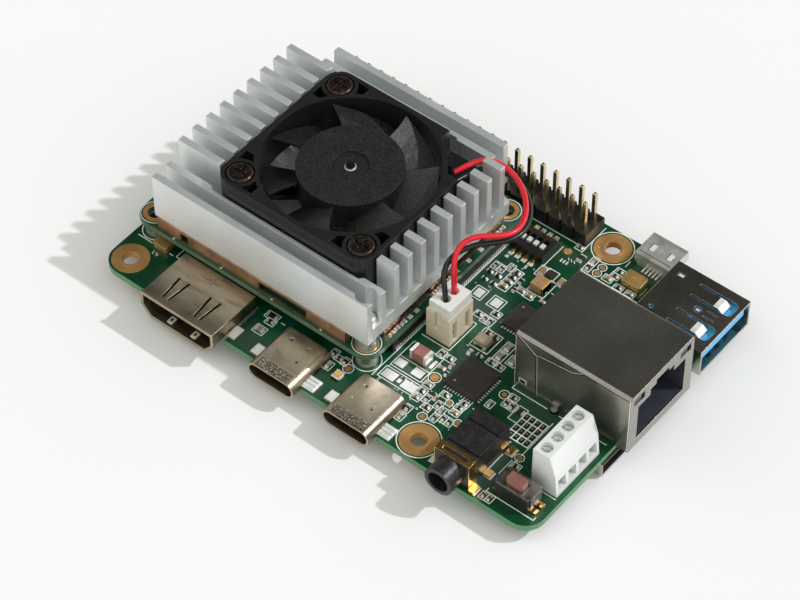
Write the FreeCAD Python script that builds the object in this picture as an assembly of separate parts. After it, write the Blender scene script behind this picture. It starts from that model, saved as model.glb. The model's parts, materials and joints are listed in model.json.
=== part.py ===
import FreeCAD, Part
import math
import os

# Single board computer: carrier board, plug-in computer module, finned heatsink with fan, sockets,
# switches and pin header. Millimetres. The working frame has X along the long front edge, Y from
# the front edge to the pin header edge and Z = 0 on the carrier board's top face. Every piece is
# shifted by SHIFT, so that the origin is the middle of the four mounting holes, on the board's
# underside.

os.makedirs("parts", exist_ok=True)

# ---- driving dimensions
BOARD_X, BOARD_Y, BOARD_T, BOARD_R = 85.0, 56.0, 1.2, 3.5
HOLE_X, HOLE_Y, HOLE_EDGE, HOLE_R = 58.0, 49.0, 3.5, 1.375
TAIL_Z = -4.0                                   # lowest level under the board
SOM_X0, SOM_Y0, SOM_LX, SOM_LY, SOM_Z0, SOM_Z1 = 0.2, 8.1, 48.0, 40.0, 3.0, 4.0
SOM_HOLES = [(2.6, 10.65), (45.65, 10.65), (45.65, 45.6), (2.6, 45.6)]
SINK_X0, SINK_X1, SINK_Y0, SINK_Y1, SINK_Z0, SINK_Z1 = 4.6, 47.5, 8.65, 48.61, 6.5, 9.2
FIN_PITCH, FIN_T, FIN_N = 3.23, 1.2, 13
RAIL_TOP, STUB_TOP, LOW_TOP = 15.2, 18.2, 11.4
STUB_LEFT, STUB_RIGHT = 13.1, 44.1
SCREW_A, SCREW_B = (45.65, 10.65), (6.5, 46.6)   # the two heatsink screws
FAN_C, FAN_S, FAN_Z0, FAN_Z1 = (28.7, 27.7), 30.0, 11.4, 18.4
FAN_BORE, HUB_R, BLADE_R, BLADES = 14.2, 8.5, 13.7, 7
HDMI_X0, HDMI_X1, HDMI_Y0, HDMI_Y1 = 11.3, 25.75, -2.5, 7.9
USBC_C, USBC_W, USBC_Y0, USBC_Y1, USBC_Z0, USBC_Z1 = (36.7, 51.4), 8.94, -1.7, 7.5, -1.66, 1.5
MICRO_X0, MICRO_X1, MICRO_Y0, MICRO_Y1 = 65.8, 72.5, 52.2, 57.4
USBA_X0, USBA_X1, USBA_Y0, USBA_Y1, USBA_Z1 = 73.6, 87.0, 39.8, 52.9, 5.3
RJ_X0, RJ_X1, RJ_Y0, RJ_Y1, RJ_Z1 = 66.1, 87.3, 20.9, 36.9, 12.4
JACK_X, JACK_Z, JACK_R, JACK_BORE = 69.8, 2.5, 2.5, 1.8
PIN_PITCH, PIN_A, PIN_X0, PIN_Y0 = 2.54, 0.64, 8.37, 51.23
TERM_Y0, TERM_Y1, TERM_X, TERM_PITCH = 7.6, 18.2, 80.9, 2.54
DIP_X, DIP_PITCH = 51.4, 1.27
HDR_X0, HDR_X1, HDR_Y0, HDR_Y1, HDR_Z1 = 49.4, 53.9, 20.4, 26.3, 6.0
WIRE_D = 0.9
SHIFT = FreeCAD.Vector(-(HOLE_EDGE + HOLE_X / 2), -(HOLE_EDGE + HOLE_Y / 2), BOARD_T)


def vec(x, y, z):
    return FreeCAD.Vector(x, y, z)


def box(x0, x1, y0, y1, z0, z1):
    return Part.makeBox(x1 - x0, y1 - y0, z1 - z0, vec(x0, y0, z0))


def cyl(x, y, z0, z1, r):
    return Part.makeCylinder(r, z1 - z0, vec(x, y, z0))


def tube(x, y, z0, z1, r_out, r_in):
    return cyl(x, y, z0, z1, r_out).cut(cyl(x, y, z0, z1, r_in))


def cyl_along(axis, base, length, r):
    return Part.makeCylinder(r, length, base, axis)


def fuse(shapes):
    return shapes[0].multiFuse(shapes[1:]).removeSplitter()


def cut(shape, tools):
    return shape.cut(Part.makeCompound(tools))


def rounded(x0, x1, y0, y1, z0, z1, r, axis="z"):
    """Box with the four edges parallel to one axis rounded."""
    body = box(x0, x1, y0, y1, z0, z1)
    k = "xyz".index(axis)
    edges = []
    for e in body.Edges:
        d = e.Vertexes[1].Point - e.Vertexes[0].Point
        if abs(d[k]) > 1e-6:
            edges.append(e)
    return body.makeFillet(r, edges)


def prism(points, axis, a, b):
    """Polygon in the plane across one axis, extruded from a to b along it."""
    if axis == "x":
        pts = [vec(a, p, q) for p, q in points]
        move = vec(b - a, 0, 0)
    elif axis == "y":
        pts = [vec(p, a, q) for p, q in points]
        move = vec(0, b - a, 0)
    else:
        pts = [vec(p, q, a) for p, q in points]
        move = vec(0, 0, b - a)
    return Part.Face(Part.makePolygon(pts + pts[:1])).extrude(move)


def save(name, shapes):
    group = Part.makeCompound([s for shape in shapes for s in shape.Solids])
    group.translate(SHIFT)
    group.exportStep("parts/%s.step" % name)
    print("%-22s %3d solids  %9.3f mm3" % (name, len(group.Solids), group.Volume))


# ---- carrier board
pin_xy = [(PIN_X0 + PIN_PITCH * i, PIN_Y0 + PIN_PITCH * j) for i in range(20) for j in range(2)]
term_y = [(TERM_Y0 + TERM_Y1) / 2 + TERM_PITCH * (k - 1.5) for k in range(4)]
hdr_y = [22.4, 24.4]
rj_pins = [(68.9 - 1.9 * (i % 2), 24.5 + 1.27 * i) for i in range(8)]
rj_stakes = [(74.0, 20.5), (74.0, 37.3)]
jack_leads = [(73.15, 74.2, 9.6, 11.1), (72.95, 74.2, 4.2, 5.5), (73.15, 74.2, 0.3, 2.0)]

board = rounded(0, BOARD_X, 0, BOARD_Y, -BOARD_T, 0, BOARD_R)
holes = [cyl(HOLE_EDGE + i * HOLE_X, HOLE_EDGE + j * HOLE_Y, -2, 1, HOLE_R) for i in (0, 1) for j in (0, 1)]
holes += [cyl(x, y, -2, 1, 0.5) for x, y in pin_xy]
holes += [cyl(79.95, y, -2, 1, 0.45) for y in term_y]
holes += [cyl(51.65, y, -2, 1, 0.45) for y in hdr_y]
holes += [cyl(x, y, -2, 1, 0.4) for x, y in rj_pins]
holes += [cyl(x, y, -2, 1, 0.7) for x, y in rj_stakes]
holes += [box(11.0, 26.05, -1, 8.3, -2, 1)]
holes += [rounded(c - 4.65, c + 4.65, -1, 7.7, -2, 1, 0.6) for c in USBC_C]
board = cut(board, holes)
save("main_pcb", [board])

# ---- computer module: board, mezzanine connectors, standoffs, shield, chips
som = rounded(SOM_X0, SOM_X0 + SOM_LX, SOM_Y0, SOM_Y0 + SOM_LY, SOM_Z0, SOM_Z1, 2.5)
som = cut(som, [cyl(x, y, 2, 5, 1.2) for x, y in SOM_HOLES] + [cyl(*SCREW_B, 2, 5, 1.1)])
save("som_pcb", [som])

sockets = []
plugs = []
for xc in (2.0, 46.4):
    body = box(xc - 1.4, xc + 1.4, 14.3, 43.7, 0, 2.0)
    sockets.append(body.cut(box(xc - 0.85, xc + 0.85, 15.0, 43.0, 0.8, 2.1)))
    flange = box(xc - 1.4, xc + 1.4, 14.3, 43.7, 2.0, SOM_Z0)
    plugs.append(fuse([flange, box(xc - 0.7, xc + 0.7, 15.3, 42.7, 0.95, 2.0)]))
save("som_sockets", sockets)
save("som_plugs", plugs)

standoffs = [tube(x, y, 0, SOM_Z0, 1.8, 0.95) for x, y in SOM_HOLES]
standoffs += [tube(x, y, SOM_Z1, SINK_Z0, 1.8, 1.0) for x, y in (SCREW_A, SCREW_B)]
save("standoffs", standoffs)

shield_outline = [(5.2, 8.45), (43.2, 8.45), (43.2, 13.2), (47.0, 13.2), (47.0, 43.0), (43.0, 43.0),
                  (43.0, 47.9), (9.2, 47.9), (9.2, 43.8), (5.2, 43.8)]
shield_inner = [(5.6, 8.85), (42.8, 8.85), (42.8, 13.6), (46.6, 13.6), (46.6, 42.6), (42.6, 42.6),
                (42.6, 47.5), (9.6, 47.5), (9.6, 43.4), (5.6, 43.4)]
shield_lip = [(6.6, 9.85), (41.8, 9.85), (41.8, 14.6), (45.6, 14.6), (45.6, 41.6), (41.6, 41.6),
              (41.6, 46.5), (10.6, 46.5), (10.6, 42.4), (6.6, 42.4)]
shield = prism(shield_outline, "z", SOM_Z1, SINK_Z0 - 0.02)
shield = shield.cut(prism(shield_inner, "z", SOM_Z1, 6.1)).cut(prism(shield_lip, "z", 6.0, 7.0))
windows = [box(10.0, 11.5, 8, 9, 4.3, 6.0), box(26.0, 35.5, 8, 9, 4.3, 6.0)]
windows += [box(46, 48, 17.0, 24.5, 4.3, 6.0), box(46, 48, 31.0, 39.0, 4.3, 6.0)]
windows += [box(14.0, 22.0, 47, 49, 4.3, 6.0), box(28.0, 38.0, 47, 49, 4.3, 6.0)]
windows += [box(5, 6, 14.0, 22.0, 4.3, 6.0), box(5, 6, 30.0, 38.0, 4.3, 6.0)]
save("som_shield", [cut(shield, windows)])

som_chips = [(15.0, 29.0, 20.0, 34.0, 1.3), (31.5, 42.5, 17.0, 29.0, 0.9), (31.0, 41.0, 32.0, 41.0, 0.9),
             (8.0, 12.5, 16.0, 20.5, 0.9), (8.5, 12.5, 28.0, 32.0, 0.8), (16.0, 22.0, 38.0, 44.0, 0.8),
             (16.0, 21.0, 12.0, 16.5, 0.8), (26.0, 28.5, 38.5, 42.0, 0.8)]
save("som_chips", [box(a, b, c, d, SOM_Z1, SOM_Z1 + h) for a, b, c, d, h in som_chips])
save("thermal_pads", [box(a, b, c, d, SOM_Z1 + h, SINK_Z0) for a, b, c, d, h in som_chips[:4]])

# ---- heatsink: base plate, two rails at each side, stubs beside the fan, low fins under it
corner = [(47.6, 43.5), (46.0, 44.0), (43.3, 46.0), (43.3, 48.7), (47.6, 48.7)]
base = box(SINK_X0, SINK_X1, SINK_Y0, SINK_Y1, SINK_Z0, SINK_Z1)
fins = []
for k in range(FIN_N):
    y0 = SINK_Y0 + FIN_PITCH * k
    y1 = y0 + FIN_T
    if k in (0, 1, 11, 12):
        right = SINK_X1 if k < 2 else 43.25
        left = SINK_X0 if k < 2 else 9.0
        fins.append(box(left, right, y0, y1, SINK_Z1 - 1, RAIL_TOP))
    else:
        fins.append(box(SINK_X0, STUB_LEFT, y0, y1, SINK_Z1 - 1, STUB_TOP))
        fins.append(box(STUB_RIGHT, SINK_X1, y0, y1, SINK_Z1 - 1, STUB_TOP))
        fins.append(box(STUB_LEFT, STUB_RIGHT, y0, y1, SINK_Z1 - 1, LOW_TOP))
y1_rail = SINK_Y0 + FIN_PITCH
y11_rail = SINK_Y0 + 11 * FIN_PITCH
fan_screw_xy = [(FAN_C[0] + sx, FAN_C[1] + sy) for sx, sy in ((-12, 12), (-12, -12), (12, -12))]
bosses = [cyl(x, y, SINK_Z1 - 1, LOW_TOP, 2.3) for x, y in fan_screw_xy]
sink = fuse([base] + fins + bosses)
groove_1 = [(13.0, y1_rail + 1.3), (13.7, y1_rail + 0.55), (42.7, y1_rail + 0.55), (43.4, y1_rail + 1.3)]
groove_11 = [(13.0, y11_rail - 0.1), (13.5, y11_rail + 0.4), (36.2, y11_rail + 0.4), (36.7, y11_rail - 0.1)]
sink = cut(sink, [
    prism(corner, "z", SINK_Z0 - 1, 20),
    prism(groove_1, "z", SINK_Z1, 20),
    prism(groove_11, "z", SINK_Z1, 20),
    cyl(*SCREW_A, SINK_Z1, 20, 1.7),
    cyl(*SCREW_B, SINK_Z1, 20, 1.7),
    cyl(*SCREW_A, SINK_Z0 - 1, 20, 1.1),
    cyl(*SCREW_B, SINK_Z0 - 1, 20, 1.1),
] + [cyl(x, y, SINK_Z1 - 0.6, 12, 1.2) for x, y in fan_screw_xy])
save("heatsink", [sink])


def phillips(x, y, top, r, depth=0.5):
    a = box(x - r * 0.62, x + r * 0.62, y - 0.18, y + 0.18, top - depth, top + 1)
    b = box(x - 0.18, x + 0.18, y - r * 0.62, y + r * 0.62, top - depth, top + 1)
    return a.fuse(b)


def pan_screw(x, y, z_end, z_seat, head_h, head_r, shank_r):
    head = cyl(x, y, z_seat, z_seat + head_h, head_r)
    rim = [e for e in head.Edges if e.BoundBox.ZMin > z_seat + head_h - 1e-6]
    head = head.makeFillet(head_h * 0.55, rim)
    screw = fuse([head, cyl(x, y, z_end, z_seat + 0.1, shank_r)])
    return screw.cut(phillips(x, y, z_seat + head_h, head_r))


save("heatsink_screws", [pan_screw(*SCREW_A, 1.0, SINK_Z1, 1.2, 1.5, 0.8),
                         pan_screw(*SCREW_B, 3.0, SINK_Z1, 1.2, 1.5, 0.8)])

# ---- fan: housing with bearing boss and three struts, rotor cup with seven blades
fx, fy = FAN_C
h = FAN_S / 2
frame = rounded(fx - h, fx + h, fy - h, fy + h, FAN_Z0, FAN_Z1, 3.0)
frame = frame.cut(cyl(fx, fy, FAN_Z0 - 1, FAN_Z1 + 1, FAN_BORE))
pockets = []
for sx, sy in ((-1, 1), (-1, -1), (1, -1)):
    x, y = fx + 12 * sx, fy + 12 * sy
    block = box(min(x - 4.2 * sx, fx + (h - 0.7) * sx), max(x - 4.2 * sx, fx + (h - 0.7) * sx),
                min(y - 4.2 * sy, fy + (h - 0.7) * sy), max(y - 4.2 * sy, fy + (h - 0.7) * sy),
                FAN_Z0 + 1.5, FAN_Z1 + 1)
    pocket = block.cut(cyl(fx, fy, FAN_Z0, FAN_Z1 + 2, FAN_BORE + 0.7))
    pocket = pocket.cut(cyl(x, y, FAN_Z0, FAN_Z1 + 2, 2.9))
    pockets.append(pocket)
    pockets.append(cyl(x, y, FAN_Z0 - 1, FAN_Z1 + 1, 1.3))
    pockets.append(cyl(x, y, 17.6, FAN_Z1 + 1, 2.35))
cx, cy = fx + 12, fy + 12
low_corner = box(cx - 4.4, cx + 4, cy - 4.4, cy + 4, 14.0, FAN_Z1 + 1)
low_corner = low_corner.cut(cyl(fx, fy, FAN_Z0, FAN_Z1 + 2, FAN_BORE + 0.7))
pockets.append(low_corner)
frame = cut(frame, pockets)
spokes = []
for ang in (100.0, 220.0, 340.0):
    arm = box(5.0, FAN_BORE + 0.4, -0.9, 0.9, FAN_Z0, FAN_Z0 + 1.0)
    arm.rotate(vec(0, 0, 0), vec(0, 0, 1), ang)
    arm.translate(vec(fx, fy, 0))
    spokes.append(arm)
wire_arm = box(5.0, FAN_BORE + 1.2, -1.3, 1.3, FAN_Z0, FAN_Z0 + 1.0)
wire_arm.rotate(vec(0, 0, 0), vec(0, 0, 1), 45.0)
wire_arm.translate(vec(fx, fy, 0))
plate = cyl(fx, fy, FAN_Z0, FAN_Z0 + 1.0, 6.6)
boss = tube(fx, fy, FAN_Z0 + 0.9, 16.4, 2.4, 1.7)
bracket = box(-1.1, 1.1, -0.35, 0.35, FAN_Z0 + 1, 17.2)
bracket.rotate(vec(0, 0, 0), vec(0, 0, 1), -45.0)
bracket.translate(vec(fx + 10.75, fy + 10.75, 0))
housing = fuse([frame, plate, boss, wire_arm, bracket] + spokes)
save("fan_housing", [housing])
save("fan_bearing", [tube(fx, fy, FAN_Z0 + 1.0, 16.6, 1.7, 0.8)])
save("fan_shaft", [cyl(fx, fy, FAN_Z0 + 1.3, 18.0, 0.75)])

stator = tube(fx, fy, 13.4, 15.6, 5.9, 2.4)
gaps = []
for ang in (0.0, 90.0, 180.0, 270.0):
    slot = cyl(3.55, 0, 13, 16, 1.05)
    slot = slot.fuse(box(4.0, 6.2, -0.35, 0.35, 13, 16))
    slot.rotate(vec(0, 0, 0), vec(0, 0, 1), ang + 45.0)
    slot.translate(vec(fx, fy, 0))
    gaps.append(slot)
save("fan_stator", [cut(stator, gaps)])
save("fan_magnet", [tube(fx, fy, 13.1, 16.9, 7.5, 6.3)])

cup = cyl(fx, fy, 12.9, 18.0, HUB_R).cut(cyl(fx, fy, 12.0, 17.0, 7.5))
cup = cup.cut(cyl(fx, fy, 17.65, 19, 3.0)).cut(cyl(fx, fy, 16, 19, 0.75))


def blade_section(r, lead_deg, z_lead, z_trail, span_deg, thick):
    """Closed outline of a curved blade at one radius: five stations along the chord."""
    upper = []
    lower = []
    for i in range(5):
        t = i / 4.0
        a = math.radians(lead_deg - span_deg * t)
        z = z_lead + (z_trail - z_lead) * t ** 0.8
        half = thick * (0.35 + 0.65 * math.sin(math.pi * min(max(t, 0.12), 0.88)))
        upper.append(vec(fx + r * math.cos(a), fy + r * math.sin(a), z + half / 2))
        lower.append(vec(fx + r * math.cos(a), fy + r * math.sin(a), z - half / 2))
    return upper + lower[::-1]


def faceted_loft(sections):
    """Closed solid through outlines with equal point counts, built of flat triangles."""
    faces = []

    def triangle(p, q, r):
        faces.append(Part.Face(Part.makePolygon([p, q, r, p])))

    count = len(sections[0])
    for inner, outer in zip(sections[:-1], sections[1:]):
        for i in range(count):
            j = (i + 1) % count
            triangle(inner[i], inner[j], outer[i])
            triangle(inner[j], outer[j], outer[i])
    for end in (sections[0], sections[-1]):
        for i in range(count // 2 - 1):
            p, q, r, t = end[i], end[i + 1], end[count - 2 - i], end[count - 1 - i]
            triangle(p, q, t)
            triangle(q, r, t)
    solid = Part.makeSolid(Part.makeShell(faces))
    if solid.Volume < 0:
        solid.reverse()
    return solid


blades = []
for k in range(BLADES):
    lead = 90.0 + 360.0 / BLADES * k
    sections = [blade_section(8.1, lead - 4.0, 17.2, 13.7, 39.0, 0.9),
                blade_section(11.0, lead - 2.5, 17.4, 13.5, 41.0, 0.8),
                blade_section(BLADE_R, lead, 17.6, 13.3, 44.0, 0.7)]
    blades.append(faceted_loft(sections))
save("fan_rotor", [fuse([cup] + blades)])
save("fan_screws", [pan_screw(x, y, SINK_Z1 - 0.3, 17.6, 1.0, 2.15, 1.15) for x, y in fan_screw_xy])

# ---- fan leads, plug and board header


def lead_tube(points, diameter):
    """Round lead: straight runs joined by tangent arcs, radius set by the shorter run of each bend."""
    pts = [vec(*p) for p in points]
    edges = []
    start = pts[0]
    radii = []
    for i in range(1, len(pts) - 1):
        a = (pts[i] - pts[i - 1])
        b = (pts[i + 1] - pts[i])
        run = min(a.Length, b.Length)
        a.normalize()
        b.normalize()
        turn = math.acos(max(-1.0, min(1.0, a.dot(b))))
        reach = 0.45 * run
        radius = reach / math.tan(turn / 2)
        radii.append(radius)
        p = pts[i] - a * reach
        q = pts[i] + b * reach
        mid_dir = (b - a)
        mid_dir.normalize()
        mid = pts[i] + mid_dir * (radius / math.cos(turn / 2) - radius)
        edges.append(Part.LineSegment(start, p).toShape())
        edges.append(Part.Arc(p, mid, q).toShape())
        start = q
    edges.append(Part.LineSegment(start, pts[-1]).toShape())
    path = Part.Wire(edges)
    section = Part.Wire([Part.makeCircle(diameter / 2, pts[0], pts[1] - pts[0])])
    solid = path.makePipeShell([section], True, False)
    expected = math.pi * diameter ** 2 / 4 * path.Length
    print("lead length %.2f  smallest radius %.2f  radii %s  volume %.3f of %.3f" % (
        path.Length, min(radii), ["%.1f" % r for r in radii], solid.Volume, expected))
    return solid


red_route = [
    (40.9, 37.9, 16.0), (41.9, 40.3, 16.4), (43.0, 42.2, 16.6), (44.9, 43.4, 16.5), (47.2, 43.6, 16.1),
    (49.6, 43.0, 15.6), (52.0, 41.5, 15.1), (54.0, 39.2, 14.7), (55.1, 36.5, 14.5), (54.8, 34.0, 14.6),
    (53.1, 32.0, 14.9), (51.3, 30.2, 15.2), (50.4, 27.9, 15.1), (50.5, 26.0, 14.1), (51.2, 24.8, 12.3),
    (51.65, 24.4, 9.9), (51.65, 24.4, 7.5),
]
black_route = [
    (41.7, 37.2, 15.0), (42.2, 39.6, 14.9), (42.9, 41.9, 14.8), (44.7, 43.5, 14.7), (47.3, 43.9, 14.5),
    (49.8, 43.6, 14.2), (52.2, 42.3, 13.7), (54.2, 40.1, 13.3), (55.3, 37.3, 13.1), (54.9, 34.6, 13.1),
    (53.3, 32.3, 13.3), (51.4, 30.2, 13.4), (50.1, 27.8, 13.2), (49.6, 25.4, 12.6), (50.2, 23.5, 11.4),
    (51.25, 22.6, 9.7), (51.65, 22.4, 7.5),
]
save("fan_wire_red", [lead_tube(red_route, WIRE_D)])
save("fan_wire_black", [lead_tube(black_route, WIRE_D)])

header = box(HDR_X0, HDR_X1, HDR_Y0, HDR_Y1, 0, HDR_Z1)
header = cut(header, [
    box(HDR_X0 + 0.6, HDR_X1 - 0.6, HDR_Y0 + 0.6, HDR_Y1 - 0.6, 1.2, 7),
    box(HDR_X1 - 1, HDR_X1 + 1, 21.3, 22.3, 0.6, 4.6),
    box(HDR_X1 - 1, HDR_X1 + 1, 24.4, 25.4, 0.6, 4.6),
    box(50.9, 52.2, HDR_Y0 - 1, HDR_Y0 + 1, 2.6, 7),
] + [cyl(51.65, y, -1, 2, 0.3) for y in hdr_y])
save("fan_header", [header])
plug = fuse([box(HDR_X0 + 0.7, HDR_X1 - 0.7, HDR_Y0 + 0.7, HDR_Y1 - 0.7, 1.5, HDR_Z1 + 0.1),
             box(HDR_X0 + 0.35, HDR_X1 - 0.1, HDR_Y0 + 0.3, HDR_Y1 - 0.3, HDR_Z1 + 0.05, 8.0)])
plug = cut(plug, [box(51.25, 52.05, y - 0.4, y + 0.4, 1, 6.4) for y in hdr_y] +
           [cyl(51.65, y, 7.5, 9, 0.8) for y in hdr_y])
save("fan_plug", [plug])

# ---- HDMI socket, sunk into a board notch: sheet shell open at the front
hdmi_out = [(11.3, 2.9), (11.3, 0.3), (12.95, -1.7), (24.1, -1.7), (25.75, 0.3), (25.75, 2.9)]
hdmi_in = [(11.65, 2.55), (11.65, 0.42), (13.1, -1.35), (23.95, -1.35), (25.4, 0.42), (25.4, 2.55)]
hdmi = prism(hdmi_out, "y", HDMI_Y0 + 0.5, HDMI_Y1)
hdmi_lip = [(11.15, 3.2), (11.15, 0.2), (12.9, -1.95), (24.15, -1.95), (25.9, 0.2), (25.9, 3.2)]
hdmi = fuse([hdmi, prism(hdmi_lip, "y", HDMI_Y0, HDMI_Y0 + 0.5),
             box(25.7, 27.2, 0.9, 3.3, 0, 0.35), box(9.8, 11.35, 0.9, 3.3, 0, 0.35)])
hdmi = hdmi.cut(prism(hdmi_in, "y", HDMI_Y0 - 1, HDMI_Y1 - 0.3))
slits = []
for xa, xb in ((13.9, 16.3), (20.3, 22.7)):
    slits.append(prism([(xa, 3.5), (xa + 0.4, 3.5), (xa + 0.85, -1.1), (xa + 0.45, -1.1)], "z", 2.3, 3.4))
    slits.append(prism([(xb - 0.4, 3.5), (xb, 3.5), (xb - 0.45, -1.1), (xb - 0.85, -1.1)], "z", 2.3, 3.4))
save("hdmi_shell", [cut(hdmi, slits)])

# ---- two USB-C sockets, sunk into board notches
usbc_zc = (USBC_Z0 + USBC_Z1) / 2
usbc_h = USBC_Z1 - USBC_Z0


def stadium(xc, y0, y1, w, height, r):
    return rounded(xc - w / 2, xc + w / 2, y0, y1, usbc_zc - height / 2, usbc_zc + height / 2, r, "y")


usbc = []
inserts = []
for xc in USBC_C:
    shell = stadium(xc, USBC_Y0, USBC_Y1, USBC_W, usbc_h, 1.45)
    shell = fuse([shell, box(xc - 3.6, xc + 3.6, 0.4, USBC_Y1, USBC_Z1 - 0.1, USBC_Z1 + 0.12),
                  box(xc + 4.3, xc + 6.7, 0.4, 2.8, 0, 0.3), box(xc - 6.1, xc - 4.3, 0.5, 2.8, 0, 0.3)])
    shell = shell.cut(stadium(xc, USBC_Y0 - 1, USBC_Y1 - 0.3, USBC_W - 0.6, usbc_h - 0.6, 1.25))
    dimples = [cyl(xc + dx, y, USBC_Z1 + 0.02, USBC_Z1 + 1, 0.4) for dx in (-1.7, 1.7) for y in (2.6, 5.6)]
    usbc.append(cut(shell, dimples))
    back = stadium(xc, 5.2, USBC_Y1 - 0.3, USBC_W - 0.6, usbc_h - 0.6, 1.25)
    tongue = box(xc - 3.35, xc + 3.35, -0.7, 5.3, usbc_zc - 0.33, usbc_zc + 0.33)
    inserts.append(fuse([back, tongue]))
save("usb_c_shells", usbc)

# ---- micro USB socket facing the rear edge
micro_out = [(65.8, 2.6), (65.8, 0.9), (66.5, 0.0), (71.8, 0.0), (72.5, 0.9), (72.5, 2.6)]
micro_in = [(66.1, 2.3), (66.1, 1.0), (66.64, 0.3), (71.66, 0.3), (72.2, 1.0), (72.2, 2.3)]
micro = prism(micro_out, "y", MICRO_Y0, MICRO_Y1).cut(prism(micro_in, "y", MICRO_Y0 + 0.3, MICRO_Y1 + 1))
save("micro_usb_shell", [micro])
micro_back = prism(micro_in, "y", MICRO_Y0 + 0.3, MICRO_Y0 + 1.6)
inserts.append(fuse([micro_back, box(67.4, 70.9, MICRO_Y0 + 1.5, MICRO_Y1 - 0.5, 1.5, 2.0)]))
hdmi_block = prism(hdmi_in, "y", 5.4, HDMI_Y1 - 0.3)
inserts.append(fuse([hdmi_block, box(13.0, 24.0, -1.0, 5.5, 0.5, 1.5)]))
save("socket_inserts", inserts)

# ---- USB type A socket facing the right edge
usba = box(USBA_X0, USBA_X1, USBA_Y0, USBA_Y1, 0.0, USBA_Z1)
usba = usba.cut(box(USBA_X0 + 0.3, USBA_X1 + 1, USBA_Y0 + 0.3, USBA_Y1 - 0.3, 0.3, USBA_Z1 - 0.3))
usba_slots = []
springs = []
for ya, yb in ((42.0, 45.0), (48.15, 51.15)):
    usba_slots.append(box(79.0, 85.0, ya, ya + 0.4, 4.8, 6))
    usba_slots.append(box(79.0, 85.0, yb - 0.4, yb, 4.8, 6))
    usba_slots.append(rounded(83.2, 86.3, ya, yb, 4.8, 6, 0.8))
    leaf = [(83.0, 5.3), (83.9, 5.3), (84.75, 4.6), (84.75, 4.25), (83.75, 5.0), (83.0, 5.0)]
    springs.append(prism(leaf, "y", ya + 0.4, yb - 0.4))
usba_slots.append(cyl(81.55, 46.6, 4.8, 6, 0.65))
usba_slots += [box(82.9, 84.9, y - 0.12, y + 0.12, 4.8, 6) for y in (45.95, 47.2)]
usba_slots += [box(75.0, 76.2, 50.35, 51.05, 4.8, 6), cyl(75.6, 42.7, 4.8, 6, 0.38)]
save("usb_a_shell", [fuse([cut(usba, usba_slots)] + springs)])
usba_in = fuse([box(USBA_X0 + 0.3, 77.3, USBA_Y0 + 0.3, USBA_Y1 - 0.3, 0.3, USBA_Z1 - 0.5),
                box(77.2, 86.5, 40.7, 52.0, 2.6, 4.1)])
save("usb_a_insert", [usba_in])

# ---- network socket facing the right edge
rj = box(RJ_X0, RJ_X1, RJ_Y0, RJ_Y1, 0, RJ_Z1)
top_edges = []
for e in rj.Edges:
    d = e.Vertexes[1].Point - e.Vertexes[0].Point
    if abs(d.x) > 1 and e.BoundBox.ZMin > RJ_Z1 - 0.01:
        top_edges.append(e)
rj = rj.makeChamfer(0.45, top_edges)
rj = cut(rj, [
    box(RJ_X0 + 0.3, RJ_X1 - 0.35, RJ_Y0 + 0.3, RJ_Y1 - 0.3, -1, RJ_Z1 - 0.75),
    box(RJ_X0 + 0.3, RJ_X1 - 0.35, RJ_Y0 + 0.75, RJ_Y1 - 0.75, 11, RJ_Z1 - 0.3),
    box(86, 88, 22.9, 34.9, 1.6, 9.0),
    box(86, 88, 25.9, 31.9, 8.9, 10.3),
    box(86, 88, 27.3, 30.5, 10.2, 11.1),
    box(86, 88, 21.7, 24.4, 9.9, 11.5),
    box(86, 88, 33.4, 36.1, 9.9, 11.5),
])
rj_peg = [fuse([cyl(x, y, -BOARD_T, 0.5, 0.55), box(x - 0.6, x + 0.6, min(y, ya), max(y, ya), 0, 1.4)])
          for (x, y), ya in zip(rj_stakes, (RJ_Y0 + 0.1, RJ_Y1 - 0.1))]
save("ethernet_shell", [fuse([rj] + rj_peg)])
rj_in = box(RJ_X0 + 0.35, RJ_X1 - 0.4, RJ_Y0 + 0.35, RJ_Y1 - 0.35, 0, RJ_Z1 - 0.8)
rj_in = cut(rj_in, [
    box(72.5, 88, 22.9, 34.9, 1.6, 9.0),
    box(77.5, 88, 25.9, 31.9, 8.9, 10.3),
    box(80.5, 88, 27.3, 30.5, 10.2, 11.1),
] + [cyl(x, y, -1, 3, 0.3) for x, y in rj_pins])
save("ethernet_insert", [rj_in])

# ---- 3.5 mm audio jack: plastic body with round nose, brass clip
jack = fuse([box(66.8, 72.9, 0.6, 10.8, 0, 5.0),
             cyl_along(vec(0, 1, 0), vec(JACK_X, -2.5, JACK_Z), 3.2, JACK_R)])
jack = jack.cut(cyl_along(vec(0, 1, 0), vec(JACK_X, -3, JACK_Z), 12.5, JACK_BORE))
jack = jack.cut(box(66, 74, 3.2, 3.5, 4.6, 6)).cut(box(66, 74, 8.1, 8.4, 4.6, 6))
save("audio_jack_body", [jack])
clip = box(66.6, 73.1, 0.7, 2.6, 0, 5.2).cut(box(66.8, 72.9, 0, 3, -1, 5.0))
clip = clip.cut(box(67.6, 72.1, 1.3, 2.0, 4, 6))
save("audio_jack_clip", [clip])

# ---- reset push button: base, cover plate, plunger held under the cover
rb = box(76.6, 82.6, 2.5, 6.0, 0, 3.0).cut(box(77.5, 81.5, 2.95, 5.05, 1.4, 4))
save("reset_base", [rb])
rc = fuse([box(76.6, 82.6, 2.5, 6.0, 3.0, 3.3), box(76.35, 76.6, 2.9, 5.6, 1.0, 3.3),
           box(82.6, 82.85, 2.9, 5.6, 1.0, 3.3)])
rc = rc.cut(box(77.9, 81.1, 3.0, 5.0, 2, 4))
save("reset_cover", [rc])
rp = fuse([rounded(78.0, 81.0, 3.1, 4.9, 2.4, 4.5, 0.35), box(77.7, 81.3, 3.1, 4.9, 1.9, 2.85)])
save("reset_plunger", [rp])

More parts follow.
